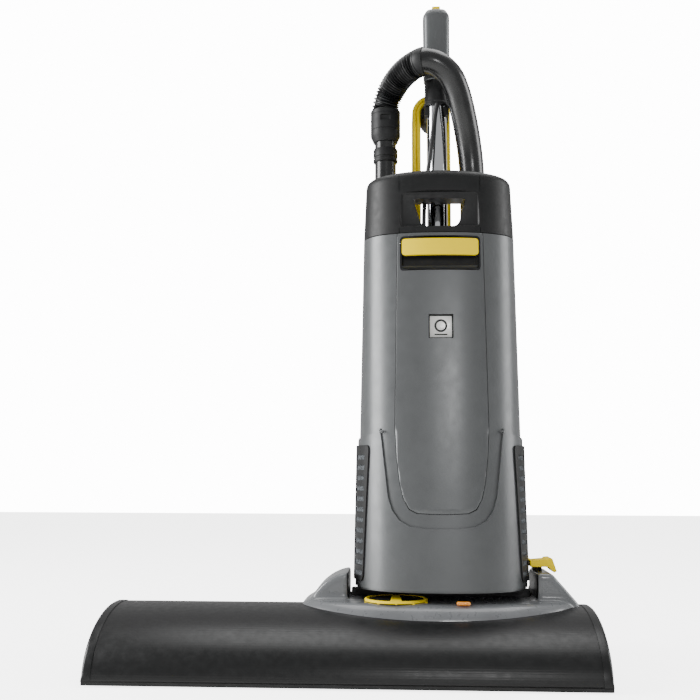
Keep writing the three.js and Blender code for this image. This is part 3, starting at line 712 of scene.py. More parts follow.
# ---- stage ----------------------------------------------------------------------
class StageSettings(bpy.types.PropertyGroup):
    """The camera and the lights."""

    focal: bpy.props.FloatProperty(
        name="Focal length", description="Lens of the camera on a 36 mm sensor, in mm",
        default=51.43, min=10.0, unit="CAMERA")
    key_power: bpy.props.FloatProperty(
        name="Key light", description="Power of the large light at the left",
        default=120.0, min=0.0, unit="POWER")
    fill_power: bpy.props.FloatProperty(
        name="Fill light", description="Power of the light at the right",
        default=30.0, min=0.0, unit="POWER")
    world: bpy.props.FloatProperty(
        name="Surround", description="Light the pale surround gives",
        default=0.55, min=0.0)
    backdrop: bpy.props.FloatProperty(
        name="Backdrop", description="Brightness of the surround as the camera sees it",
        default=14.0, min=0.0)


CAMERA_AT = (0.0699, -1.5056, 0.274)
CAMERA_TURN = (0.048, 0.126, -0.004)  # left, up and roll, in radians


def aim(position, target):
    way = Vector(target) - Vector(position)
    turn = way.to_track_quat("-Z", "Y").to_matrix().to_4x4()
    return Matrix.Translation(position) @ turn


def area_light(name, position, target, size, power, colour=(1, 1, 1)):
    data = bpy.data.lights.new(name, "AREA")
    data.shape = "RECTANGLE"
    data.size, data.size_y = size
    data.energy = power
    data.color = colour
    obj = bpy.data.objects.new(name, data)
    obj.matrix_world = aim(position, target)
    bpy.context.scene.collection.objects.link(obj)
    return obj


class VAC_OT_stage(bpy.types.Operator):
    """Camera, soft studio lights and a pale floor."""

    bl_idname = "vacuum.stage"
    bl_label = "Stage"

    def execute(self, context):
        settings = context.scene.vacuum_stage
        left, up, roll = CAMERA_TURN
        data = bpy.data.cameras.new("camera")
        data.sensor_width = 36.0
        data.lens = settings.focal
        data.clip_start = 0.05
        camera = bpy.data.objects.new("camera", data)
        turn = (Matrix.Rotation(left, 4, "Z") @ Matrix.Rotation(math.pi / 2 + up, 4, "X")
                @ Matrix.Rotation(-roll, 4, "Z"))
        camera.matrix_world = Matrix.Translation(CAMERA_AT) @ turn
        context.scene.collection.objects.link(camera)
        context.scene.camera = camera

        bm = bmesh.new()
        bmesh.ops.create_grid(bm, x_segments=2, y_segments=2, size=6000)
        floor = to_object(bm, "floor", "paper")

        area_light("key", (-2.4, -0.45, 1.2), (0.05, 0, 0.5), (1.2, 2.2),
                   settings.key_power)
        area_light("fill", (2.3, 0.05, 1.1), (0.1, 0, 0.5), (0.9, 1.8),
                   settings.fill_power)
        area_light("top", (0.1, 0.3, 2.6), (0.1, 0, 0.3), (2.2, 1.6),
                   settings.key_power * 0.3)
        area_light("front", (0.5, -2.4, 0.9), (0.13, 0, 0.1), (0.5, 0.3),
                   settings.key_power * 0.07)
        world = bpy.data.worlds.new("surround")
        world.use_nodes = True
        tree = world.node_tree
        tree.nodes.clear()
        glow = add(tree, "ShaderNodeBackground", Color=linear("#fbfbfb"),
                   Strength=settings.world)
        seen = add(tree, "ShaderNodeBackground", Color=linear("#ffffff"),
                   Strength=settings.backdrop)
        path = add(tree, "ShaderNodeLightPath")
        both = add(tree, "ShaderNodeMixShader", i0=(path, "Is Camera Ray"), i1=(glow, 0),
                   i2=(seen, 0))
        add(tree, "ShaderNodeOutputWorld", Surface=(both, 0))
        context.scene.world = world
        return {"FINISHED"}


# ---- cords ----------------------------------------------------------------------
class CordSettings(bpy.types.PropertyGroup):
    """Mains cord and switch cable."""

    diameter: bpy.props.FloatProperty(
        name="Cord diameter", description="Outer diameter of the mains cord",
        default=CORD_D * MM, min=0.004, max=0.012, unit="LENGTH")


HANK_X, HANK_HALF, HANK_FRONT = 125.0, 31.0, 66.0
HANK_LOW, HANK_HIGH = 591.0, 862.0  # centres of the folds at its two ends
# The turns in winding order, as (band, layer): band 1 is the outer one.
HANK_TURNS = ([(1, k) for k in (5, 4, 3, 2, 1, 0)] + [(0, k) for k in range(7)]
              + [(1, 6)])
GLAND = (88.0, 545.0)
LEAD = [(88, 39, 545), (88, 52, 545), (88, 66, 541), (88, 77, 531), (88, 80, 517),
        (92, 82, 503), (102, 85, 493), (116.7, 89, 488.5), (131, 93, 493),
        (141.5, 97, 503), (147, 100.5, 517), (150.5, 103, 535), (152.3, 104.3, 553),
        (152.5, 104.5, 570), (152.5, 104.5, 591)]
TAIL = [(97.5, 111.5, 591), (97.5, 111.3, 569), (97.5, 111, 540), (98, 111, 505),
        (98, 111, 472)]
SWITCH_CABLE = [(133, 20.5, 860), (128, 20.5, 830), (122, 20, 780), (116, 24, 735),
                (112, 28, 690), (111.5, 32, 640), (111.5, 33, 607)]


def hank_spot(turn):
    """Radius and depth of one turn of the hank."""
    band, layer = HANK_TURNS[turn]
    r = HANK_HALF - CORD_D * (1.5 - band)
    return r, HANK_FRONT + CORD_D * (0.5 + layer)


def mains_route():
    """The mains cord from its gland, round the hank and down to the plug."""
    rng = random.Random(7)
    route = smooth_path(LEAD, 5.0)[:-1]
    for turn in range(len(HANK_TURNS)):
        r, y = hank_spot(turn)
        sway = [rng.uniform(-0.18, 0.18) for _ in range(4)]
        last = turn == len(HANK_TURNS) - 1
        count = 22
        for k in range(count):
            z = HANK_LOW + (HANK_HIGH - HANK_LOW) * k / count
            wave = sway[0] * math.sin(k / count * math.pi)
            route.append(Vector((HANK_X + r + wave, y + wave, z)))
        for k in range(16):
            a = math.pi * k / 16
            route.append(Vector((HANK_X + r * math.cos(a), y, HANK_HIGH + r * math.sin(a))))
        for k in range(count):
            z = HANK_HIGH - (HANK_HIGH - HANK_LOW) * k / count
            wave = sway[1] * math.sin(k / count * math.pi)
            route.append(Vector((HANK_X - r - wave, y + wave, z)))
        if last:
            continue
        r1, y1 = hank_spot(turn + 1)
        for k in range(16):
            mix = (1 - math.cos(math.pi * k / 16)) / 2
            a = math.pi + math.pi * k / 16
            rr = r + (r1 - r) * mix
            route.append(Vector((HANK_X + rr * math.cos(a), y + (y1 - y) * mix,
                                 HANK_LOW + rr * math.sin(a))))
    return route + smooth_path(TAIL, 6.0)


def route_curve(name, points, diameter, material):
    """A curve with a round section along points in millimetres."""
    data = bpy.data.curves.new(name, "CURVE")
    data.dimensions = "3D"
    data.bevel_depth = diameter * MM / 2
    data.bevel_resolution = 3
    data.use_fill_caps = True
    spline = data.splines.new("POLY")
    spline.points.add(len(points) - 1)
    for point, p in zip(spline.points, points):
        point.co = (*(p * MM), 1.0)
    spline.use_smooth = True
    data.materials.append(MAT[material])
    obj = bpy.data.objects.new(name, data)
    bpy.context.scene.collection.objects.link(obj)
    return obj


def mains_plug():
    """A moulded plug: waisted body, ribbed neck, two blades and an earth pin."""
    rings = [(471.4, 5, 5), (462, 6.2, 6.2), (456, 9.5, 7.5), (450, 13.2, 9.4),
             (440, 13.8, 9.8), (434, 13.6, 9.6), (432, 12.8, 9.0)]
    body = loft([[(98 + a * sq(math.cos(t)), 111 + b * sq(math.sin(t)), z)
                  for t in turn_angles(28)] for z, a, b in rings])
    ribs = [turned([(0, -0.9), (6.6, -0.9), (7.1, 0), (6.6, 0.9), (0, 0.9)], "z",
                   (98, 111, z), 24) for z in (459.5, 463, 466.5)]
    plug = to_object(merged(body, *ribs), "mains_plug_body", "cable")
    round_edges(plug, 0.8)
    blades = [block(x, x + 2.5, 104, 111, 414, 433, 0.5, 2) for x in (89, 104.5)]
    earth = turned([(0, 411), (1.4, 411), (2.4, 413), (2.4, 433), (0, 433)], "z",
                   (98, 116, 0), 20)
    pins = to_object(merged(*blades, earth), "mains_plug_pins", "steel")
    return plug, pins


class VAC_OT_cords(bpy.types.Operator):
    """Mains cord wound on its hooks, its gland and plug, and the switch cable."""

    bl_idname = "vacuum.cords"
    bl_label = "Cords"

    def execute(self, context):
        settings = context.scene.vacuum_cords
        plug, pins = mains_plug()
        place(plug, "body", "black_trim", "mains_plug")
        place(pins, "body", "steel")
        d = settings.diameter
        route = mains_route()
        cord = route_curve("mains_cord", route, d / MM, "cord")
        place(cord, "body", "cord_yellow", "cord_lead", "cord_hank", "cord_tail")

        x, z = GLAND
        relief = [(0, 0), (8, 0), (8, 3), (7.2, 4.2), (5.6, 4.6)]
        for k in range(6):
            y = 6.0 + k * 3.6
            r = 6.2 - k * 0.32
            relief += [(r, y), (r, y + 1.7), (r - 0.9, y + 2.1), (r - 0.9, y + 3.2)]
        relief += [(3.7, 29.0), (3.55, 29.0)]
        gland = to_object(turned(relief + [(0, 29.0)], "y", (x, BODY_BACK + 0.4, z), 32),
                          "cord_strain_relief", "cable")
        place(gland, "body", "black_trim", "cord_gland")

        wire = smooth_path(SWITCH_CABLE, 6.0)
        cable = route_curve("switch_cable_line", wire, d / MM, "cable")
        place(cable, "body", "black_trim", "switch_cable")
        return {"FINISHED"}


# ---- head -----------------------------------------------------------------------
class HeadSettings(bpy.types.PropertyGroup):
    """The wide head, its saddle and the wheels."""

    rim: bpy.props.FloatProperty(
        name="Rim rounding", description="Rounding of the head cover's ends",
        default=0.0045, min=0.0, max=0.02, unit="LENGTH")
    soften: bpy.props.IntProperty(
        name="Saddle softening", description="How often the saddle's edges are eased",
        default=14, min=0, max=60)


HEAD_HALF = 345.0


def head_outline(inset=0.0, low=8.0):
    """The head cover's section in (y, z), front to back."""
    outline = []
    for k in range(41):
        a = math.pi / 2 * k / 40
        outline.append((-28 - (147 - inset) * math.cos(a),
                        8 + (84 - inset) * math.sin(a)))
    outline += [(-12, 91.8 - inset), (0, 90.6 - inset), (6 - inset, 88.5 - inset),
                (9.5 - inset, 84 - inset), (14 - inset, 75.5 - inset),
                (18 - inset, 72 - inset), (56, 66 - inset), (56, low)]
    if low != 8.0:
        outline.append((-175 + inset, low))
    return outline


def soft_ends(bm, x_end, width, skip):
    """Rounds the rims where a prism along x ends."""
    edges = [e for e in bm.edges
             if all(abs(abs(v.co.x) - x_end) < 0.01 for v in e.verts)
             and not any(skip(v.co) for v in e.verts)]
    bmesh.ops.bevel(bm, geom=edges, offset=width, segments=4, affect="EDGES",
                    profile=0.5, material=-1)


def refined(node, name, body, slot, material, width_mm=0.8, segments=2):
    """A closed copy of a CAD node with its flats joined and its edges rounded."""
    bm = bmesh.new()
    bm.from_mesh(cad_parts[node].data)
    bmesh.ops.scale(bm, vec=(1000, 1000, 1000), verts=bm.verts)
    bmesh.ops.remove_doubles(bm, verts=bm.verts, dist=0.01)
    bmesh.ops.dissolve_limit(bm, angle_limit=math.radians(0.8), verts=bm.verts,
                             edges=bm.edges)
    obj = to_object(bm, name, material, closed=False)
    if width_mm:
        round_edges(obj, width_mm, segments, 35)
    return place(obj, body, slot, node)


def screw_heads(spots, direction, name, radius=3.6):
    """Pan-head screws with a cross recess, at points facing along a direction."""
    parts = []
    for spot in spots:
        head = turned([(0, 1.5), (radius * 0.6, 1.35), (radius * 0.92, 0.7),
                       (radius, 0), (0, -0.6)], "z", (0, 0, 0), 20)
        turn = Vector(direction).to_track_quat("Z", "Y").to_matrix().to_4x4()
        bmesh.ops.transform(head, matrix=Matrix.Translation(spot) @ turn,
                            verts=head.verts)
        parts.append(head)
        cross = [block(-radius * 0.55, radius * 0.55, -0.35, 0.35, 1.2, 1.62),
                 block(-0.35, 0.35, -radius * 0.55, radius * 0.55, 1.2, 1.62)]
        for bar in cross:
            bmesh.ops.transform(bar, matrix=Matrix.Translation(spot) @ turn,
                                verts=bar.verts)
            parts.append(bar)
    return to_object(merged(*parts), name, "steel")


class VAC_OT_head(bpy.types.Operator):
    """Head cover with its end caps, bumper, sole plate and screws."""

    bl_idname = "vacuum.head"
    bl_label = "Head"

    def execute(self, context):
        rim = context.scene.vacuum_head.rim / MM
        shell = slab(head_outline(), 2 * HEAD_HALF, "x", -HEAD_HALF)
        soft_ends(shell, HEAD_HALF, rim, lambda co: co.z < 9 or co.y > 50)
        cover = to_object(shell, "head_cover_skin", "bumper", 28)
        room = to_object(slab(head_outline(3.0, 0.0)[:-2] + [(60, 63), (60, -5), (-172, -5)],
                              2 * (HEAD_HALF - 5), "x", -HEAD_HALF + 5), "room", "bumper")
        duct = to_object(turned([(0, 30), (17.5, 30), (17.5, 80), (0, 80)], "z",
                                (BODY_X, 37.5, 0), 32), "duct", "bumper")
        boolean(cover, [room, duct])
        resharpen(cover, 28)
        place(cover, "base", "black_trim", "head_cover")

        for side, name in ((-1, "left"), (1, "right")):
            cap = slab(head_outline(-0.7), -side * 13, "x", side * HEAD_HALF)
            soft_ends(cap, HEAD_HALF, rim, lambda co: co.z < 9 or co.y > 50)
            piece = to_object(cap, f"head_end_{name}", "bumper", 28)
            hollow = to_object(block(*sorted((side * 341, side * 320)), -150, 60, -5, 55),
                               "hollow", "bumper")
            boolean(piece, [hollow])
            resharpen(piece, 28)
            place(piece, "base", "black_trim")

        strip = [(-175, 2), (-170, 2), (-170, 7.7), (-175, 7.7)]
        bumper = to_object(slab(strip, 2 * HEAD_HALF, "x", -HEAD_HALF), "bumper_lip",
                           "rubber")
        round_edges(bumper, 1.4, 3)
        place(bumper, "base", "rubber_black", "bumper_strip")
        refined("sole_plate", "sole_plate_rounded", "base", "steel", "steel", 0.6)
        screws = [(x, y, 7.4) for x in (-250, -80, 80, 250) for y in (-144, -62)]
        place(screw_heads(screws, (0, 0, -1), "sole_screws", 3.2), "base", "steel")
        return {"FINISHED"}


class VAC_OT_saddle(bpy.types.Operator):
    """Grey saddle under the body, with its cheeks, dial and lamp."""

    bl_idname = "vacuum.saddle"
    bl_label = "Saddle"

    def execute(self, context):
        def ring(z, inset):
            pts = []
            for k in range(41):
                a = math.pi + math.pi * k / 40
                pts.append((126 + (203 - inset) * math.cos(a),
                            -28 + (80 - inset) * math.sin(a), z))
            return pts + [(329 - inset, 62, z), (-77 + inset, 62, z)]

        mound = loft([ring(58, 0), ring(78, 0), ring(86, 3), ring(93, 9),
                      ring(97.5, 15), ring(99.2, 24)])
        saddle = to_object(mound, "saddle", "saddle")
        left = [(-66, 80), (-2, 80), (-2, 138), (-16, 134.5), (-28, 129), (-41, 119.5),
                (-50, 109), (-57, 99)]
        right = [(268, 80), (331, 80), (328, 94), (318.5, 105), (309, 116), (300, 126),
                 (290, 138), (268, 138)]
        cheeks = []
        for k, outline in enumerate((left, right)):
            lump = slab(outline, 102, "y", -40)
            cheeks.append(to_object(lump, f"cheek_{k}", "saddle"))
        boolean(saddle, cheeks, "UNION")
        rooms = [to_object(block(-2, 268, 15, 95, 40, 145), "room", "saddle")]
        for x in WHEEL_X:
            rooms.append(to_object(
                turned([(0, -17), (60, -17), (60, 17), (0, 17)], "x",
                       (x, AXLE[0], AXLE[1]), 48), "well", "saddle"))
        dish = to_object(turned([(0, 98.2), (46.5, 98.2), (50, 104), (0, 104)], "z",
                                DIAL, 64), "dish", "saddle")
        dent = to_object(block(306, 345, -8, 34, 103, 130, 8, 4), "dent", "saddle")
        boolean(saddle, rooms + [dent])
        mod = saddle.modifiers.new("grain", "REMESH")
        mod.mode = "VOXEL"
        mod.voxel_size = 0.0024
        settle(saddle)
        bm = bmesh.new()
        bm.from_mesh(saddle.data)
        for _ in range(context.scene.vacuum_head.soften):
            bmesh.ops.smooth_vert(bm, verts=bm.verts, factor=0.5, use_axis_x=True,
                                  use_axis_y=True, use_axis_z=True)
        for face in bm.faces:
            face.smooth = True
        bm.to_mesh(saddle.data)
        bm.free()
        grown = head_outline(-0.3, 20.0)
        under = to_object(slab(grown, 2 * HEAD_HALF, "x", -HEAD_HALF), "under", "saddle")
        boolean(saddle, [under, dish])
        resharpen(saddle, 40)
        saddle.data.materials.clear()
        saddle.data.materials.append(MAT["saddle"])
        saddle.data.materials.append(MAT["nylon"])
        # Painted shade: the cheeks' inner walls that face the body take the black nylon
        # finish, darkening them where the body shades them.
        for polygon in saddle.data.polygons:
            x, y, z = polygon.center / MM
            facing = polygon.normal
            inner = (abs(x + 2) < 1.6 and facing.x > 0.6) or \
                (abs(x - 268) < 1.6 and facing.x < -0.6)
            polygon.material_index = 1 if inner and z > 80 else 0
        place(saddle, "base", "grey_body", "base_housing")

        centre = DIAL
        ring_profile = [(40.2, 99.4), (45, 99.4), (45, 101.6), (44.2, 102.8),
                        (42.6, 103.2), (41.2, 102.9), (40.2, 101.8), (40.2, 99.4)]
        dial = to_object(turned(ring_profile, "z", centre, 96), "dial_ring", "yellow")
        place(dial, "dial", "yellow_trim", "height_dial")
        disc = turned([(0, 93), (4, 93), (4, 99.4), (39.7, 99.4), (39.7, 101.2),
                       (38.6, 101.8), (30, 101.4), (28.6, 101.4), (28, 101.8),
                       (0, 101.8)], "z", centre, 96)
        place(to_object(disc, "dial_disc", "nylon"), "dial", "black_trim", "dial_face")
        arrow = [(59, -83), (75, -83), (72.6, -20), (70, -15), (64, -15), (61.4, -20)]
        pointer = to_object(slab(arrow, 2.2, "z", 101.5), "dial_arrow", "yellow")
        round_edges(pointer, 0.7, 3)
        place(pointer, "dial", "yellow_trim", "dial_pointer")
        marks = []
        for k in range(5):
            a = math.radians(-150 + 30 * k)
            tick = block(-0.9, 0.9, 46.6, 50.5, 98.9, 99.9 if k % 2 else 100.2, 0.3, 2)
            spin = Matrix.Translation(centre) @ Matrix.Rotation(a - math.pi / 2, 4, "Z")
            bmesh.ops.transform(tick, matrix=spin, verts=tick.verts)
            marks.append(tick)
        place(to_object(merged(*marks), "dial_marks", "yellow"), "base", "yellow_trim")
        lens = block(150.5, 169.5, -94, -82, 98.9, 103.6, 2.2, 4)
        place(to_object(lens, "lamp_lens", "lamp"), "base", "lamp_orange",
              "indicator_lamp")
        refined("release_pedal", "pedal", "pedal", "yellow_trim", "yellow", 1.6, 3)
        refined("pedal_bracket", "pedal_post", "base", "black_trim", "nylon", 0.7)
        return {"FINISHED"}


# ---- running gear -----------------------------------------------------------------
class VAC_OT_running_gear(bpy.types.Operator):
    """Wheels, front roller, brush tufts and the tilt plate."""

    bl_idname = "vacuum.running_gear"
    bl_label = "Running gear"

    def execute(self, context):
        for name, x in (("left", -26), ("right", 292)):
            body = "wheel_l" if name == "left" else "wheel_r"
            at = (x, AXLE[0], AXLE[1])
            hub = turned([(5.3, -14), (13, -14), (14, -13), (15, -8.5), (34, -8),
                          (36, -11.5), (42, -12), (42, 12), (36, 11.5), (34, 8),
                          (15, 8.5), (14, 13), (13, 14), (5.3, 14), (5.3, -14)],
                         "x", at, 72)
            wheel = to_object(hub, f"wheel_hub_{name}", "wheel", 30)
            holes = []
            for k in range(6):
                a = math.tau * k / 6
                spot = (x, AXLE[0] + 24.5 * math.cos(a), AXLE[1] + 24.5 * math.sin(a))
                holes.append(to_object(turned([(0, -20), (6.2, -20), (6.2, 20), (0, 20)],
                                              "x", spot, 24), "hole", "wheel"))
            boolean(wheel, holes)
            resharpen(wheel)
            round_edges(wheel, 0.5)
            place(wheel, body, "grey_body", f"wheel_{name}")
            profile = [(42.3, -12), (50, -14), (53.6, -12.4), (55, -9.6)]
            for k in range(5):
                edge = -8.2 + k * 3.4
                profile += [(55, edge), (54, edge + 0.5), (54, edge + 1.2),
                            (55, edge + 1.7)]
            profile += [(55, 9.6), (53.6, 12.4), (50, 14), (42.3, 12), (42.3, -12)]
            tyre = to_object(turned(profile, "x", at, 96), f"tyre_tread_{name}", "rubber")
            place(tyre, body, "rubber_black", f"tyre_{name}")

        profile = [(0, 51), (3, 51), (3, 60), (9, 60), (11.4, 61), (12, 63)]
        for k in range(17):
            x = 66 + k * 8
            profile += [(12, x), (11.3, x + 0.6), (11.3, x + 1.6), (12, x + 2.2)]
        profile += [(12, 203), (11.4, 205), (9, 206), (3, 206), (3, 215), (0, 215)]
        roller = to_object(turned(profile, "x", (0, -20, 12), 40), "roller_ribbed",
                           "rubber")
        place(roller, "roller", "rubber_black", "front_roller")
        refined("roller_carriage", "roller_frame", "carriage", "black_trim", "nylon", 0.5)
        refined("tilt_yoke", "tilt_plate", "body", "steel", "frame", 0.5)

        tufts = []
        for row in range(4):
            for k in range(56):
                x = -298 + 608 * k / 55
                a = math.pi * (x + 300) / 612 + row * math.pi / 2 + 0.07
                tuft = bmesh.new()
                bmesh.ops.create_cone(tuft, cap_ends=True, segments=6, radius1=2.0,
                                      radius2=3.1, depth=15.6)
                spot = Matrix.Translation((x, -104, 28)) @ \
                    Matrix.Rotation(a - math.pi / 2, 4, "X") @ \
                    Matrix.Translation((0, 0, 20.0))
                bmesh.ops.transform(tuft, matrix=spot, verts=tuft.verts)
                tufts.append(tuft)
        rows = to_object(merged(*tufts), "brush_tufts", "bristle")
        place(rows, "brush", "bristle", "brush_bristles")
        return {"FINISHED"}


# ---- body -----------------------------------------------------------------------
class BodySettings(bpy.types.PropertyGroup):
    """The grey body, its door and its black cover."""

    gap: bpy.props.FloatProperty(
        name="Panel gap", description="Gap left round the door",
        default=0.0009, min=0.0002, max=0.003, unit="LENGTH")
    edge: bpy.props.FloatProperty(
        name="Panel edge", description="Rounding of the panels' edges",
        default=0.0007, min=0.0001, max=0.002, unit="LENGTH")


DOOR_SIDES = [(63, 633.6), (65, 490), (67, 345), (64.5, 300), (60.5, 266), (55, 243),
              (47, 229), (36, 223.5), (18, 222.4), (0, 222)]
U_SIDES = [(88, 343.6), (86, 330), (80, 276), (76.5, 246), (71, 228), (61, 213.5),
           (46, 205), (24, 202), (0, 201.5)]
GRILLE_SLOTS = [(133 + 15.1 * k, 140 + 15.1 * k) for k in range(12)]


def corner_cuts():
    """Ways round at which the body's rear corners bend."""
    lows, highs = [], []
    for z in BODY_STOPS:
        run = half_outline(z)[2]
        lows.append(run[260] / run[-1] * SPAN)
        highs.append(run[267] / run[-1] * SPAN)
    return steps(min(lows) - 2, max(highs) + 2, 2.4)


def way_cuts(low, high, step=9.0):
    """Ways round at which a panel is cut so that it can bend."""
    cuts = [u for u in steps(low, high, step)]
    for c in corner_cuts():
        cuts += [u for u in (c, -c) if low < u < high]
    return cuts


def side_way(y, z):
    """The way round, on the right side, at which the outline reaches y."""
    _, py, run = half_outline(z)
    s = np.interp(y, py[:261], run[:261])
    return s / run[-1] * SPAN


def door_edge(grow):
    """The door's right edge in (way-round, z), top to bottom."""
    return [(way_round(x + grow, z), z - (grow if z < 240 else 0))
            for x, z in DOOR_SIDES if x > 0] + [(0.0, DOOR_SIDES[-1][1] - grow)]


class VAC_OT_body(bpy.types.Operator):
    """Body shell, lower shell, grilles and screws."""

    bl_idname = "vacuum.body"
    bl_label = "Body"

    def execute(self, context):
        settings = context.scene.vacuum_body
        gap, edge = settings.gap / MM, settings.edge / MM
        halves = []
        for side in (1, -1):
            rim = [(side * u, z) for u, z in door_edge(gap)]
            outline = rim + [(0, 114), (side * SPAN, 114), (side * SPAN, 634)]
            cuts = [side * u for u in way_cuts(4, SPAN - 1)]
            halves.append(panel(outline, cuts, steps(126, 630, 21)))
        whole = merged(*halves)
        bmesh.ops.remove_doubles(whole, verts=whole.verts, dist=0.05)
        shell = to_object(whole, "body_skin", "grey", 30, closed=False)
        walled(shell, 3.0, edge)
        place(shell, "body", "grey_body", "body_shell")

        notch = [(way_round(x, z), z) for x, z in U_SIDES]
        shoulder = [(way_round(92, 344), 343), (side_way(-56, 339), 339.4),
                    (side_way(-30, 334), 334.2), (side_way(-4, 330), 330.2),
                    (side_way(7, 326), 326), (side_way(9.6, 320), 320)]
        # Up the notch from its middle, along the shoulder, and down the side.
        ring = notch[::-1] + shoulder + [(side_way(9.6, 116), 116.5), (0, 116.5)]
        lowers = []
        for side in (1, -1):
            pts = [(side * u, z) for u, z in ring]
            cuts = [side * u for u in steps(4, 330, 8)]
            lowers.append(panel(pts, cuts, steps(124, 336, 14), out=PROUD))
        low = merged(*lowers)
        bmesh.ops.remove_doubles(low, verts=low.verts, dist=0.05)
        skirt = to_object(low, "lower_skirt", "grey", 30, closed=False)
        walled(skirt, PROUD + 0.4, 0.9, 3)
        place(skirt, "body", "grey_body", "lower_shell")

        for side, name in ((-1, "left"), (1, "right")):
            def outline_at(z):
                return side_way(-40, z), side_way(7, z)
            a0, b0 = outline_at(126)
            a1, b1 = outline_at(320)
            corners = rounded_corners([(a0, 126), (b0, 126), (b1, 320), (a1, 320)],
                                      [9, 6, 6, 9])
            pts = [(side * u, z) for u, z in corners]
            slot_u0, slot_u1 = side_way(-36, 220), side_way(3, 220)
            cuts_u = [side * u for u in steps(slot_u0, slot_u1, 8)]
            cuts_z = [z for pair in GRILLE_SLOTS for z in pair] + steps(130, 316, 31)

            def slots(bm, lo=slot_u0, hi=slot_u1):
                drop_faces(bm, lambda c: lo < abs(c.x) < hi and any(
                    z0 < c.z < z1 for z0, z1 in GRILLE_SLOTS))

            frame_bm = panel(pts, cuts_u, cuts_z, out=PROUD + 2.6, lower=slots)
            grille = to_object(frame_bm, f"grille_{name}_bars", "nylon", 30, closed=False)
            walled(grille, 2.4, 0.7, 2)
            backing = panel(pts, cuts_u, steps(130, 316, 31), out=PROUD + 0.4)
            back = to_object(backing, f"grille_{name}_mesh", "foam", 30, closed=False)
            walled(back, 0.8, 0.1, 1)
            place(grille, "body", "black_trim", f"grille_{name}")
            place(back, "body", "black_trim")
        spots = [(x, BODY_BACK, z) for x in (30, 236) for z in (150, 360, 570)]
        place(screw_heads(spots, (0, 1, 0), "back_screws", 4.0), "body", "steel")
        return {"FINISHED"}



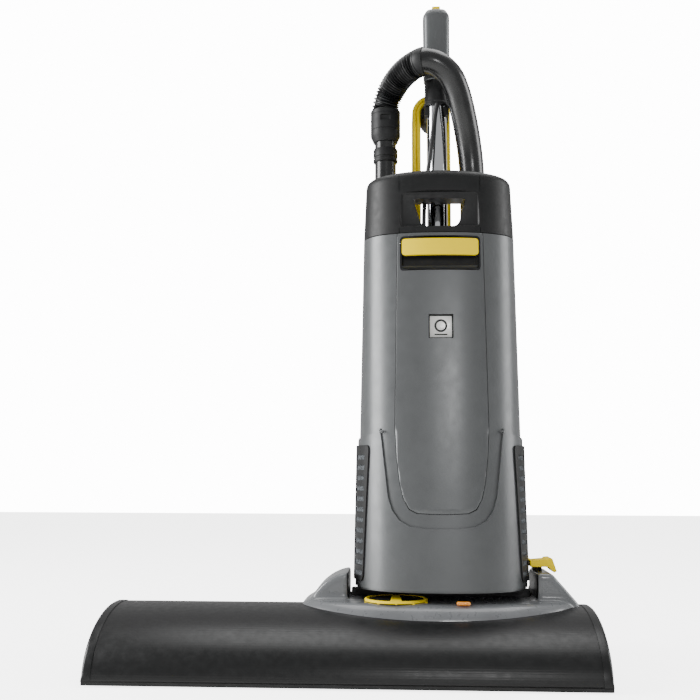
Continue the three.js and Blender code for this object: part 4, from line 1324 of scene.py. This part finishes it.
class VAC_OT_door(bpy.types.Operator):
    """Door with its latch pocket, latch and badge."""

    bl_idname = "vacuum.door"
    bl_label = "Door"

    def execute(self, context):
        edge = context.scene.vacuum_body.edge / MM
        right = door_edge(0.0)
        pts = [(-u, z) for u, z in right] + [(u, z) for u, z in reversed(right[:-1])]
        skin = panel(pts, steps(-180, 180, 8), steps(230, 628, 12))
        door = to_object(skin, "door_skin", "grey", 30, closed=False)
        walled(door, 3.0, edge)
        settle(door)
        pocket = slab(rounded_corners([(73.5, 576), (192.5, 576), (192.5, 629),
                                       (73.5, 629)], [7, 7, 7, 7], 6), 60, "y", -90)
        badge_room = block(115, 151, -90, BADGE_Y + 4, 474.3, 509.7)
        boolean(door, [to_object(pocket, "pocket", "grey"),
                       to_object(badge_room, "badge_room", "grey")])
        resharpen(door)
        place(door, "door", "grey_body", "door_panel")

        tray = block(73.8, 192.2, -54, -30, 576.3, 628.7, 5, 4)
        tray_obj = to_object(tray, "pocket_tray", "nylon")
        inside = to_object(block(75.8, 190.2, -75, -33, 578.6, 626.5, 4.5, 4), "inside",
                           "nylon")
        sweep = panel([(-140, 570), (140, 570), (140, 634), (-140, 634)],
                      steps(-140, 140, 8), steps(580, 630, 12), out=-0.6)
        trim = to_object(sweep, "trim", "nylon", closed=False)
        mod = trim.modifiers.new("wall", "SOLIDIFY")
        mod.thickness, mod.offset = 0.03, 1.0
        settle(trim)
        boolean(tray_obj, [inside, trim])
        resharpen(tray_obj)
        place(tray_obj, "door", "black_trim", "latch_pocket")
        scoop_rows = []
        for k in range(9):
            a = math.pi / 2 * k / 8
            scoop_rows.append((math.sin(a), 576.6 + 11.0 * (1 - math.cos(a))))
        scoop = bmesh.new()
        us = steps(-56.5, 56.5, 4.7)
        first = [scoop.verts.new((BODY_X + x, surface_y(x, 577, -0.4), 576.6))
                 for x in us]
        edges = [scoop.edges.new(pair) for pair in zip(first, first[1:])]
        for share, z in scoop_rows[1:]:
            moved = bmesh.ops.extrude_edge_only(scoop, edges=edges)["geom"]
            edges = [g for g in moved if isinstance(g, bmesh.types.BMEdge)]
            for v in (g for g in moved if isinstance(g, bmesh.types.BMVert)):
                start = surface_y(v.co.x - BODY_X, 577, -0.4)
                v.co.y = start + (-35.0 - start) * share
                v.co.z = z
        bmesh.ops.recalc_face_normals(scoop, faces=scoop.faces)
        scoop.normal_update()
        if sum(f.normal.z for f in scoop.faces) < 0:
            bmesh.ops.reverse_faces(scoop, faces=scoop.faces)
        lip = to_object(scoop, "pocket_lip", "grey", closed=False)
        walled(lip, 2.0, 0.6)
        place(lip, "door", "grey_body")

        corners = rounded_corners([(-56.5, 600), (56.5, 600), (56.5, 625), (-56.5, 625)],
                                  [5, 5, 5, 5], 6)
        pts = [(way_round(x, z), z) for x, z in corners]
        handle = panel(pts, steps(-130, 130, 7), steps(604, 621, 8.5), out=0.7)
        latch = to_object(handle, "latch_bar", "yellow", 30, closed=False)
        walled(latch, 6.0, 1.8, 4)
        place(latch, "latch", "yellow_trim", "door_latch")

        face = BADGE_Y
        plate = block(115.5, 150.5, face - 0.2, face + 2.6, 474.8, 509.2, 0.8, 3)
        place(to_object(plate, "badge_card", "badge"), "door", "badge_white",
              "badge_plate")
        rim = slab(rounded_corners([(114.9, 474.2), (151.1, 474.2), (151.1, 509.8),
                                    (114.9, 509.8)], [2.5] * 4), 3.2, "y", face - 0.6)
        frame_obj = to_object(rim, "badge_frame", "nylon")
        hole = to_object(block(117, 149, face - 8, face + 9, 476.4, 507.6, 0.8, 2),
                         "hole", "nylon")
        boolean(frame_obj, [hole])
        round_edges(frame_obj, 0.4)
        place(frame_obj, "door", "black_trim")
        disc = turned([(6.6, 0.4), (6.6, -0.35), (9.4, -0.35), (9.4, 0.4), (6.6, 0.4)],
                      "y", (BODY_X, face - 0.2, 493.4), 48)
        bar = block(BODY_X - 9.4, BODY_X + 9.4, face - 0.55, face + 0.2, 479.6, 481.4,
                    0.3, 2)
        place(to_object(merged(disc, bar), "badge_mark", "nylon"), "door", "black_trim")
        return {"FINISHED"}


CROWN = 6.5  # rise of the cover's top from its sides to its middle


class VAC_OT_cover(bpy.types.Operator):
    """Black top cover with its carrying grip."""

    bl_idname = "vacuum.cover"
    bl_label = "Top cover"

    def execute(self, context):
        ways = sorted(set(way_cuts(-SPAN, SPAN - 0.1, 8.0) + [-SPAN]))
        ways = [u for u in ways if u < SPAN - 1]
        levels = [(634.6, 0.7), (635.3, 0)] + [(z, 0) for z in steps(650, 716, 16.5)]
        levels += [(716 + 11 * math.sin(a), 11 * (1 - math.cos(a)) * 0.9)
                   for a in (math.pi / 2 * k / 6 for k in range(1, 7))]
        rings = [[wrapped(u, z, -inset) for u in ways] for z, inset in levels]
        for ring in rings:
            for k, (x, y, z) in enumerate(ring):
                rise = CROWN * max(0, 1 - ((x - BODY_X) / 121) ** 2)
                ring[k] = (x, y, z + rise * max(0, (z - 700) / 27))
        cover = to_object(loft(rings), "top_cover_skin", "black", 30)
        recess = to_object(block(73.5, 192.5, -110, -42, 643.5, 699, 5.5, 4), "recess",
                           "black")
        outline = rounded_corners([(93, 688), (173, 688), (160, 646), (106, 646)],
                                  [7, 7, 9, 9], 6)
        hole = to_object(loft([[(x, y, z + (lift if z > 665 else 0)) for x, z in outline]
                               for y, lift in ((-100, 0), (-46, 0), (44, 12))]),
                         "hole", "black")
        grooves = []
        for x in (BODY_X - 60.4, BODY_X + 60.4):
            for z0, z1 in ((630, 643), (699.5, 735)):
                grooves.append(to_object(block(x - 0.5, x + 0.5, -110, -38, z0, z1),
                                         "groove", "black"))
        core_bm = loft([[wrapped(u, z, -1.3) for u in ways] for z in (636.0, 716.0)])
        core = to_object(core_bm, "core", "black")
        for groove in grooves:
            mod = groove.modifiers.new("keep", "BOOLEAN")
            mod.operation, mod.solver, mod.object = "DIFFERENCE", "EXACT", core
            settle(groove)
        boolean(cover, [recess, hole] + grooves)
        bpy.data.objects.remove(core)
        resharpen(cover, 30)
        round_edges(cover, 1.1, 3, 42)
        place(cover, "body", "black_trim", "top_cover")
        return {"FINISHED"}


# ---- inside -----------------------------------------------------------------------
BAG_SWELL = 0.005  # the furthest the bag's cloth may move, in metres


class VAC_OT_inside(bpy.types.Operator):
    """Filter bag and the duct to the head."""

    bl_idname = "vacuum.inside"
    bl_label = "Bag and duct"

    def execute(self, context):
        def ring(z, a, b):
            return [(BODY_X + a * sq(math.cos(t), 0.62), -16 + b * sq(math.sin(t), 0.62), z)
                    for t in turn_angles(40)]

        sizes = [(294, 38, 9), (298, 49, 14), (310, 53, 19), (360, 55, 21),
                 (422, 56, 22), (490, 55, 21), (535, 53, 19), (547, 49, 14), (551, 38, 9)]
        bag = to_object(loft([ring(*size) for size in sizes]), "dust_bag", "bag")
        mod = bag.modifiers.new("cloth_mesh", "REMESH")
        mod.mode = "VOXEL"
        mod.voxel_size = 0.0055
        settle(bag)
        rest = np.array([v.co for v in bag.data.vertices])
        cloth = bag.modifiers.new("cloth", "CLOTH")
        cloth.settings.quality = 6
        cloth.settings.mass = 0.15
        cloth.settings.use_pressure = True
        cloth.settings.uniform_pressure_force = 4.0
        cloth.settings.effector_weights.gravity = 0.0
        for frame_number in range(1, 21):
            context.scene.frame_set(frame_number)
        settle(bag)
        context.scene.frame_set(1)
        moved = np.array([v.co for v in bag.data.vertices]) - rest
        far = np.linalg.norm(moved, axis=1, keepdims=True)
        moved *= np.minimum(1.0, BAG_SWELL / np.maximum(far, 1e-9))
        for v, co in zip(bag.data.vertices, rest + moved):
            v.co = co
            x, y, z = v.co / MM
            crease = sum(math.exp(-((z - zz) / 5.0) ** 2) for zz in (330, 375, 470, 515))
            pull = 0.9 * crease * (0.5 + 0.5 * math.sin(x / 9.0 + z / 21.0))
            v.co.y -= math.copysign(pull, y + 16) * MM
        mod = bag.modifiers.new("smooth", "SUBSURF")
        mod.levels = mod.render_levels = 1
        bm = bmesh.new()
        bm.from_mesh(bag.data)
        for face in bm.faces:
            face.smooth = True
        bm.to_mesh(bag.data)
        bm.free()
        bag.data.materials.clear()
        bag.data.materials.append(MAT["bag"])
        place(bag, "body", "paper", "filter_bag")

        line = [(BODY_X, y, z) for y, z in (
            (-45, 49), (-20, 49), (0, 49), (20, 52), (36, 66), (42, 85), (42, 112),
            (40, 125), (35, 132.5), (31.5, 134), (28.3, 134))]
        path = smooth_path(line, 1.1)
        radii = [12.4 + 0.7 * math.cos(math.tau * k / 5) for k in range(len(path))]
        duct = to_object(swept(path, radii, 28), "duct_hose", "hose", 60)
        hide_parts("transfer_hose")
        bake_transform(duct)
        return {"FINISHED"}


# ---- handle, hose and pipe ----------------------------------------------------------
class HandleSettings(bpy.types.PropertyGroup):
    """The handle, the suction hose and the pipes behind the body."""

    ribs: bpy.props.IntProperty(
        name="Hose ribs", description="Ribs of the suction hose",
        default=24, min=4, max=80)
    pipe: bpy.props.FloatProperty(
        name="Bent pipe radius", description="Outer radius of the bent pipe",
        default=0.0197, min=0.01, max=0.03, unit="LENGTH")


HOSE = [(51, 56, 859), (51, 56, 867), (53, 52, 876), (59, 45, 889), (69, 33, 902),
        (83, 17, 912), (98, 2, 917), (106, -5, 918)]
BENT_PIPE = [(104.6, -3.5, 918.1), (110.5, -8.4, 919), (126, -10, 916), (140, -7, 909),
             (154, -1, 896), (164, 7, 876), (172, 16, 850), (181, 32, 812),
             (187, 43, 770), (189, 46, 720), (189, 46, 660), (189, 46, 600),
             (189, 46, 578), (189, 43, 556), (189, 35, 542), (189, 30, 538),
             (189, 26, 538)]


class VAC_OT_handle(bpy.types.Operator):
    """Handle tube with its socket, grip and button."""

    bl_idname = "vacuum.handle"
    bl_label = "Handle"

    def execute(self, context):
        at = (TUBE[0], TUBE[1], 0)
        tube = turned([(14.5, 300), (16, 300), (16, 935), (14.5, 935), (14.5, 300)],
                      "z", at, 64)
        place(to_object(tube, "handle_stem", "chrome"), "body", "chrome", "handle_tube")
        profile = [(16.3, 861), (20, 861), (20.6, 861.8), (20.6, 865.4), (20, 866.4),
                   (19.2, 867.6), (19, 869), (19, 884), (18.6, 884.4), (18.6, 885.6),
                   (19, 886), (19, 901.6), (18.4, 902.6), (16.3, 902.6), (16.3, 861)]
        place(to_object(turned(profile, "z", at, 64), "handle_ferrule", "nylon"), "body",
              "black_trim", "handle_socket")

        def ring(z, a, b, power):
            return [(TUBE[0] + a * sq(math.cos(t), power),
                     TUBE[1] + b * sq(math.sin(t), power), z) for t in turn_angles(48)]

        sizes = [(903, 19.4, 17.8, 0.7), (904.2, 20.4, 18.7, 0.7), (914, 21, 18.8, 0.65),
                 (925, 21.5, 18.8, 0.6), (966, 21.2, 18.6, 0.6), (1006, 21.5, 18.8, 0.6),
                 (1012, 21.4, 18.7, 0.6), (1014, 20.9, 18.3, 0.6), (1020, 17.4, 15.8, 0.6),
                 (1021.6, 16.2, 14.8, 0.6), (1022, 14.8, 13.6, 0.6)]
        grip = to_object(loft([ring(*size) for size in sizes]), "grip_moulding", "grey")
        bore = to_object(turned([(0, 900), (16.3, 900), (16.3, 936), (0, 936)], "z", at,
                                48), "bore", "grey")
        seat = to_object(block(TUBE[0] - 7, TUBE[0] + 7, TUBE[1] - 6, TUBE[1] + 6, 1010,
                               1032, 0.8, 2), "seat", "grey")
        boolean(grip, [bore, seat])
        resharpen(grip, 34)
        place(grip, "body", "grey_body", "grip")
        button = block(TUBE[0] - 6.6, TUBE[0] + 6.6, TUBE[1] - 5.5, TUBE[1] + 5.5, 1018,
                       1031, 1.4, 4)
        place(to_object(button, "button_cap", "yellow"), "button", "yellow_trim",
              "power_button")
        return {"FINISHED"}


class VAC_OT_hose(bpy.types.Operator):
    """Suction wand, cuff, corrugated hose and bent pipe."""

    bl_idname = "vacuum.hose"
    bl_label = "Hose and pipes"

    def execute(self, context):
        settings = context.scene.vacuum_handle
        at = (WAND[0], WAND[1], 0)
        wand = turned([(15, 246), (17, 246), (17, 836), (15, 836), (15, 246)], "z", at, 56)
        place(to_object(wand, "wand_pipe", "pipe"), "wand", "black_trim", "wand_tube")
        collar = [(17.2, 775), (18.8, 775), (19.5, 776), (19.5, 780), (18.4, 781),
                  (18.4, 783), (19.5, 784), (19.5, 795.6), (18.6, 797), (17.2, 797),
                  (17.2, 775)]
        place(to_object(turned(collar, "z", at, 56), "wand_ring", "nylon"), "wand",
              "black_trim", "wand_collar")
        cuff = [(17.2, 808), (19.2, 808), (19.8, 809), (21.2, 812.5), (23.4, 817),
                (24, 819), (24, 826), (23.3, 826.6), (23.3, 827.8), (24, 828.4),
                (24, 852), (23.3, 852.6), (23.3, 853.8), (24, 854.4), (24, 859.6),
                (23, 861), (17.2, 861), (17.2, 808)]
        sleeve = to_object(turned(cuff, "z", at, 64), "hose_sleeve", "nylon", 30)
        window = to_object(block(WAND[0] - 8, WAND[0] + 8, 20, 35.5, 840, 849, 1.5, 3),
                           "window", "nylon")
        boolean(sleeve, [window])
        resharpen(sleeve, 30)
        place(sleeve, "wand", "black_trim", "hose_cuff")

        path = smooth_path(HOSE, 0.9)
        count = len(path)
        radii = []
        for k in range(count):
            wave = math.cos(math.tau * settings.ribs * k / (count - 1))
            radii.append(20.2 + 1.8 * sq(wave, 0.6))
        hose = to_object(swept(path, radii, 44), "suction_hose_ribbed", "hose", 75)
        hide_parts("suction_hose")
        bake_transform(hose)

        line = smooth_path(BENT_PIPE, 4.5)
        r = settings.pipe / MM
        radii = [r] * len(line)
        radii[-1] = r - 0.4
        pipe = to_object(swept(line, radii, 56), "bent_pipe_skin", "pipe")
        place(pipe, "body", "black_trim", "bent_pipe")
        ring_path = smooth_path([(103.2, -2.4, 918), (106, -4.8, 918.3),
                                 (109.5, -7.6, 918.9), (113, -8.9, 919)], 1.1)
        n = len(ring_path) - 1
        radii = [21.6 if 0 < k < n else 20.2 for k in range(n + 1)]
        place(to_object(swept(ring_path, radii, 56), "pipe_band", "nylon"), "body",
              "black_trim")
        return {"FINISHED"}


class VAC_OT_brackets(bpy.types.Operator):
    """Brackets, wand rest and cord hooks behind the body."""

    bl_idname = "vacuum.brackets"
    bl_label = "Brackets and hooks"

    def execute(self, context):
        for node, name, width in (("tube_bracket", "clamp", 1.6),
                                  ("wand_rest", "wand_cup", 1.8),
                                  ("cord_hook_upper", "hook_upper", 1.0),
                                  ("cord_hook_lower", "hook_lower", 1.0)):
            refined(node, name, "body", "black_trim", "nylon", width, 3)
        spots = [(92, 62, 598), (160, 62, 598), (118, 62, 311), (148, 62, 311)]
        place(screw_heads(spots, (0, 1, 0), "bracket_screws", 3.4), "body", "steel")
        return {"FINISHED"}


# ---- panel and registration -----------------------------------------------------------
STEPS = ("finishes", "stage", "cords", "head", "saddle", "running_gear", "body", "door",
         "cover", "inside", "handle", "hose", "brackets")


class VAC_PT_panel(bpy.types.Panel):
    """Lists the steps that build the vacuum cleaner."""

    bl_idname = "VAC_PT_panel"
    bl_label = "Upright vacuum"
    bl_space_type = "VIEW_3D"
    bl_region_type = "UI"
    bl_category = "Vacuum"

    def draw(self, context):
        for name in STEPS:
            self.layout.operator(f"vacuum.{name}")
        for group in SETTINGS:
            settings = getattr(context.scene, group)
            for key in settings.__annotations__:
                self.layout.prop(settings, key)


SETTINGS = {"vacuum_finish": FinishSettings, "vacuum_stage": StageSettings,
            "vacuum_cords": CordSettings, "vacuum_head": HeadSettings,
            "vacuum_body": BodySettings, "vacuum_handle": HandleSettings}
CLASSES = (*SETTINGS.values(), VAC_OT_finishes, VAC_OT_stage, VAC_OT_cords, VAC_OT_head,
           VAC_OT_saddle, VAC_OT_running_gear, VAC_OT_body, VAC_OT_door, VAC_OT_cover,
           VAC_OT_inside, VAC_OT_handle, VAC_OT_hose, VAC_OT_brackets, VAC_PT_panel)


def register():
    for cls in CLASSES:
        bpy.utils.register_class(cls)
    for name, group in SETTINGS.items():
        setattr(bpy.types.Scene, name, bpy.props.PointerProperty(type=group))


def unregister():
    for name in SETTINGS:
        delattr(bpy.types.Scene, name)
    for cls in reversed(CLASSES):
        bpy.utils.unregister_class(cls)


def main():
    register()
    for name in STEPS:
        getattr(bpy.ops.vacuum, name)()


if __name__ == "__main__":
    main()
